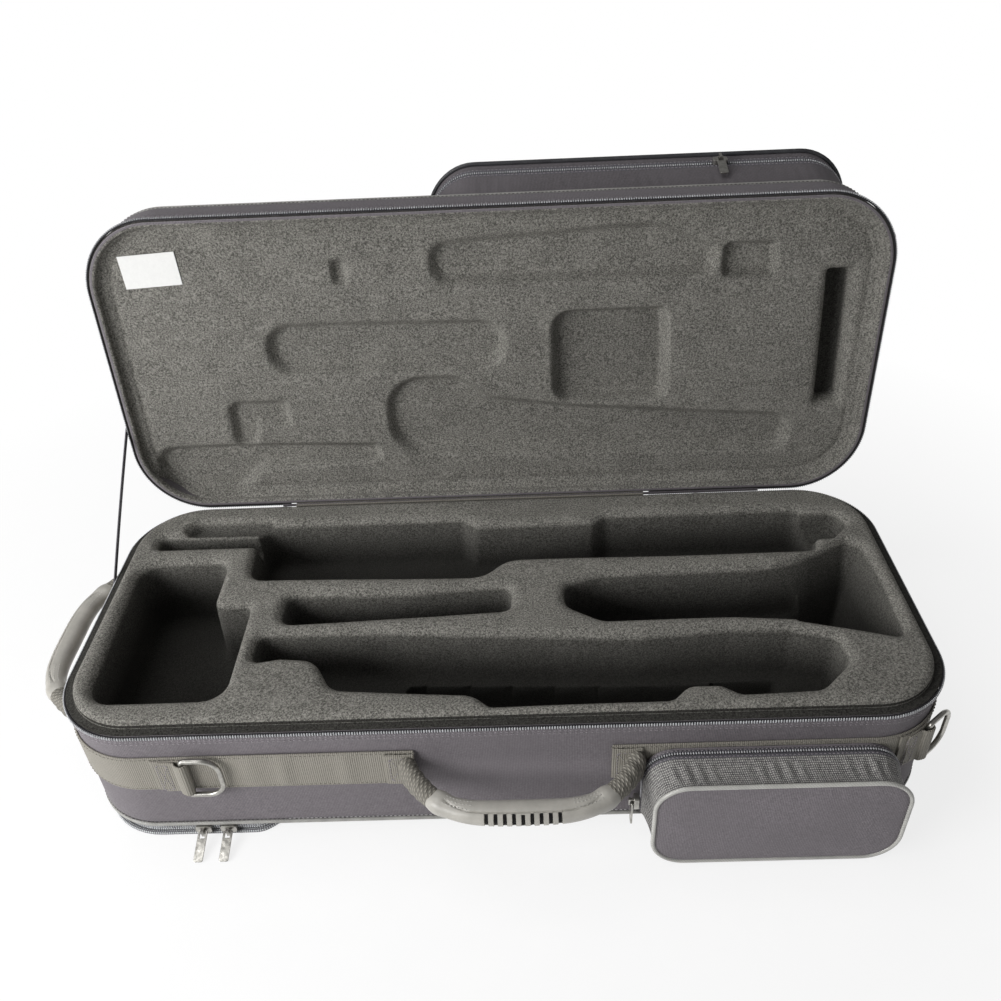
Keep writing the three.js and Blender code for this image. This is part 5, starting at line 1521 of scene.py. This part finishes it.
class BuildStrapPocket(bpy.types.Operator):
    """Build the flat pocket for the carrying straps under the base: its panel, mesh side, zip and piping"""

    bl_idname = "case.strap_pocket"
    bl_label = "Strap pocket"

    def execute(self, context):
        low, high = box_mm("strap_pocket_gusset")
        left, right, near, far = low[0], high[0], low[1], high[1]
        outline = rounded_corners([
            [left, near, 58], [left + 145.3, near, 20], [left + 171.3, near + 19, 20], [right, near + 19, 58],
            [right, far, 58], [left, far, 58],
        ], 12)
        panel = domed(outline, 0.0, 0.2, 2.3, 700)
        panel[0][:, 2] = 2.4 - panel[0][:, 2]
        make_piece("strap_pocket_panel", [panel], "cloth", "base")
        points, normals = walk(outline, OUTLINE_COUNT)
        section = [[-30, 2.4], [0.1, 2.5], [0, 4.2], [-0.5, 6], [-0.5, 8], [0.2, 10], [0.4, 12.2], [0, 13.9], [-30, 14]]
        rings = [np.insert(points + out * normals, 2, z, axis=1) for out, z in section]
        make_piece("strap_pocket_gusset", [capped(rings)], "mesh", "base")
        teeth = coil(outline, 0.7, 8.7, True)
        make_beads("strap_pocket_teeth", [teeth], "teeth", "base")
        rope = carried(outline, circle(2.1, 2.5, 1.7, 12), OUTLINE_COUNT)
        make_piece("strap_pocket_piping", [rope], "mesh", "base")
        return {"FINISHED"}


# ---- Hinge, stay and metal --------------------------------------------------

def level_run(left, right, count, y, z):
    """Evenly spaced points from left to right at one y and one z."""
    return np.insert(np.linspace((left, y), (right, y), count), 2, z, axis=1)


class BuildHinge(bpy.types.Operator):
    """Build the fabric hinge along the back and the ribbon that holds the lid"""

    bl_idname = "case.hinge"
    bl_label = "Hinge and stay"

    def execute(self, context):
        left, right = hinge_ends()
        cord = tube(level_run(left, right, 220, HINGE_Y, HINGE_Z), 1.6, 12)
        make_piece("hinge_cord", [cord], "webbing", "base")
        fold = ribbon(level_run(left - 14, right + 118, 200, HALF_WIDTH + 1.7, RIM_Z + 0.3), (0, 1, 0), 2.9, 0.5)
        make_piece("hinge_fold", [shift(fold, open_lid)], "cloth", "lid")
        for name, ends, place in (
            ("base", (112.0, HINGE_Z - 1.9), as_drawn),
            ("lid", (HINGE_Z + 1.9, LID_RIM_Z + 20), open_lid),
        ):
            run = level_run(left, right, 220, HALF_WIDTH + 0.9, sum(ends) / 2)
            strip = shift(ribbon(run, (0, 0, 1), ends[1] - ends[0], 1.2), place)
            make_piece("hinge_tape_" + name, [strip], "webbing", name)
            line = np.array([[right, HALF_WIDTH], [left, HALF_WIDTH]])
            rows = [stitches(line, 1.6, z, place=place) for z in (ends[0] + 2.5, ends[1] - 2.5)]
            make_beads(f"hinge_tape_{name}_stitches", rows, "thread", name)

        for body in ("base", "lid"):
            low, high = box_mm(f"lid_stay_{body}_tab")
            size = high - low
            run = (low + high) / 2 + np.linspace(-0.5, 0.5, 8)[:, None] * (0, size[1], 0)
            make_piece(f"lid_stay_{body}_tab", [ribbon(run, (0, 0, 1), size[2], size[0])], "webbing", body)

        low, high = box_mm("lid_stay")
        x, inset = (low[0] + high[0]) / 2, 2.5
        ends = np.array([[x, low[1] + inset, low[2]], [x, high[1] - inset, high[2]]])
        share = np.linspace(0, 1, 60)[:, None]
        run = ends[0] * (1 - share) + ends[1] * share
        run[:, 0] -= 0.8 * np.sin(math.pi * share[:, 0])
        across = np.cross(ends[1] - ends[0], (1, 0, 0))
        stay = make_piece("lid_stay", [ribbon(run, across, 5, 0.9)], "tape", "base")
        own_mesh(stay)
        spots = [tuple(spot) for spot in run * MM]
        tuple(spots[0])
        return {"FINISHED"}


class DressMetal(bpy.types.Operator):
    """Give the sliders, tabs and label of the frame their finishes and soften their edges"""

    bl_idname = "case.metal"
    bl_label = "Sliders and label"

    def execute(self, context):
        for name, node in frame["nodes"].items():
            is_label = name == "label_plate"
            if is_label or name.endswith(("_slider", "_tab")) and "stay" not in name:
                node.data.materials.clear()
                node.data.materials.append(finish_of("label" if is_label else "metal"))
                node.modifiers.new("Merged", "WELD").merge_threshold = 0.00001
                edge = node.modifiers.new("Soft edges", "BEVEL")
                edge.width, edge.segments, edge.limit_method = 0.0003, 2, "ANGLE"
                edge.angle_limit = math.radians(35)
        return {"FINISHED"}


# ---- Stage ------------------------------------------------------------------

def backdrop_finish():
    """White paper. To the camera and to mirrors it glows white, more so away from the case, and keeps a soft shadow."""
    finish = Finish("paper", Roughness=0.9)
    finish.colour(finish.mixed(finish.clouds(30, 2), (0.92, 0.92, 0.92), (0.95, 0.95, 0.95)))
    rays = finish.add("LightPath", {}).outputs
    seen = finish.larger(rays["Is Camera Ray"], finish.larger(rays["Is Glossy Ray"], rays["Is Transmission Ray"]))
    far = finish.add("VectorMath", {0: finish.places.outputs["Object"]}, operation="LENGTH").outputs["Value"]
    glow = finish.spread(far, 0.4, 0.9, 0.8, 1.0)
    white = finish.add("Emission", {"Color": (1, 1, 1, 1), "Strength": 1.0}).outputs[0]
    both = finish.add("MixShader", {0: finish.times(seen, glow), 1: finish.shader.outputs[0], 2: white})
    finish.tree.links.new(both.outputs[0], finish.tree.nodes["Material Output"].inputs["Surface"])
    return finish.material


def add_lamp(name, place, target, width, height, power):
    """A soft rectangular lamp that faces a point."""
    data = bpy.data.lights.new(name, "AREA")
    data.shape = "RECTANGLE"
    data.size, data.size_y, data.energy = width, height, power
    lamp = bpy.data.objects.new(name, data)
    bpy.context.scene.collection.objects.link(lamp)
    away = (np.array(place, float) - target) / np.linalg.norm(np.array(place, float) - target)
    side = np.cross((0, 0, 1), away)
    side /= np.linalg.norm(side)
    turned = np.column_stack([side, np.cross(away, side), away, place])
    lamp.matrix_world = Matrix([*turned.tolist(), [0, 0, 0, 1]])


# The camera as fitted to the photograph: its lens in millimetres, its pitch, yaw and roll, and its place in metres
CAMERA_LENS = 34.195
CAMERA_TURN = 36.48, -1.59, -2.88
CAMERA_PLACE = 0.0235, -0.6446, 0.7188


class BuildStage(bpy.types.Operator):
    """Set the floor, the light and the camera"""

    bl_idname = "case.stage"
    bl_label = "Stage"

    def execute(self, context):
        scene = context.scene
        side = np.linspace(-6, 6, 9)
        floor = np.stack(np.broadcast_arrays(side[None], side[:, None], -0.0002), -1) / MM
        stage = bpy.data.objects.new("floor", build_mesh("floor", [net(floor)], 50))
        scene.collection.objects.link(stage)
        stage.data.materials.append(backdrop_finish())

        world = scene.world or bpy.data.worlds.new("World")
        scene.world = world
        world.use_nodes = True
        tree = world.node_tree
        tree.nodes.clear()
        rays = add_node(tree, "LightPath", {}).outputs
        seen = add_node(tree, "Math", {0: rays["Is Camera Ray"], 1: rays["Is Transmission Ray"]}, operation="MAXIMUM")
        level = add_node(tree, "MapRange", {"Value": seen.outputs[0], "To Min": 0.2, "To Max": 1.0})
        sky = add_node(tree, "Background", {"Color": (1, 1, 1, 1), "Strength": level.outputs["Result"]})
        add_node(tree, "OutputWorld", {"Surface": sky.outputs[0]})

        add_lamp("front softbox", (-1.2, -0.92, 0.72), (-0.05, 0, 0.15), 1.0, 0.7, 25)
        add_lamp("top softbox", (-0.9, 0.2, 2.0), (-0.1, 0, 0.1), 1.2, 1.0, 13)

        data = bpy.data.cameras.new("camera")
        data.lens, data.sensor_width = CAMERA_LENS, 36
        data.clip_start = 0.02
        camera = bpy.data.objects.new("camera", data)
        scene.collection.objects.link(camera)
        pitch, yaw, roll = np.radians(CAMERA_TURN)
        ahead = np.array([math.sin(yaw) * math.cos(pitch), math.cos(yaw) * math.cos(pitch), -math.sin(pitch)])
        right = np.array([math.cos(yaw), -math.sin(yaw), 0])
        up = np.cross(right, ahead)
        right, up = right * math.cos(roll) + up * math.sin(roll), up * math.cos(roll) - right * math.sin(roll)
        turned = np.column_stack([right, up, -ahead, CAMERA_PLACE])
        camera.matrix_world = Matrix([*turned.tolist(), [0, 0, 0, 1]])
        scene.camera = camera
        scene.view_settings.view_transform = "Standard"
        return {"FINISHED"}


# ---- Panel and registration -------------------------------------------------

BUILDERS = (
    BuildStage, BuildBasePlush, BuildLidPlush, BuildCloth, BuildPlushRims, BuildMainZip, BuildEdges, BuildWebbing,
    BuildRings, BuildHandles, BuildAccessoryPocket, BuildLidPocket, BuildStrapPocket, BuildHinge, DressMetal,
)


class CasePanel(bpy.types.Panel):
    """The sizes, the colours and a button for each group of pieces"""

    bl_idname = "VIEW3D_PT_clarinet_case"
    bl_label = "Clarinet Case"
    bl_space_type = "VIEW_3D"
    bl_region_type = "UI"
    bl_category = "Case"

    def draw(self, context):
        layout = self.layout
        for group in (context.scene.case_sizes, context.scene.case_colours):
            column = layout.column()
            for name in group.__annotations__:
                column.prop(group, name)
        for builder in BUILDERS:
            layout.operator(builder.bl_idname)


CLASSES = (CaseSizes, CaseColours, *BUILDERS, CasePanel)


def register():
    """Adds the classes and their settings to Blender."""
    for made in CLASSES:
        bpy.utils.register_class(made)
    bpy.types.Scene.case_sizes = PointerProperty(type=CaseSizes)
    bpy.types.Scene.case_colours = PointerProperty(type=CaseColours)


def unregister():
    """Takes the classes and their settings out again."""
    del bpy.types.Scene.case_colours
    del bpy.types.Scene.case_sizes
    for made in reversed(CLASSES):
        bpy.utils.unregister_class(made)


def main():
    """Builds everything in order."""
    register()
    for builder in BUILDERS:
        group, name = builder.bl_idname.split(".")
        getattr(getattr(bpy.ops, group), name)()


if __name__ == "__main__":
    main()
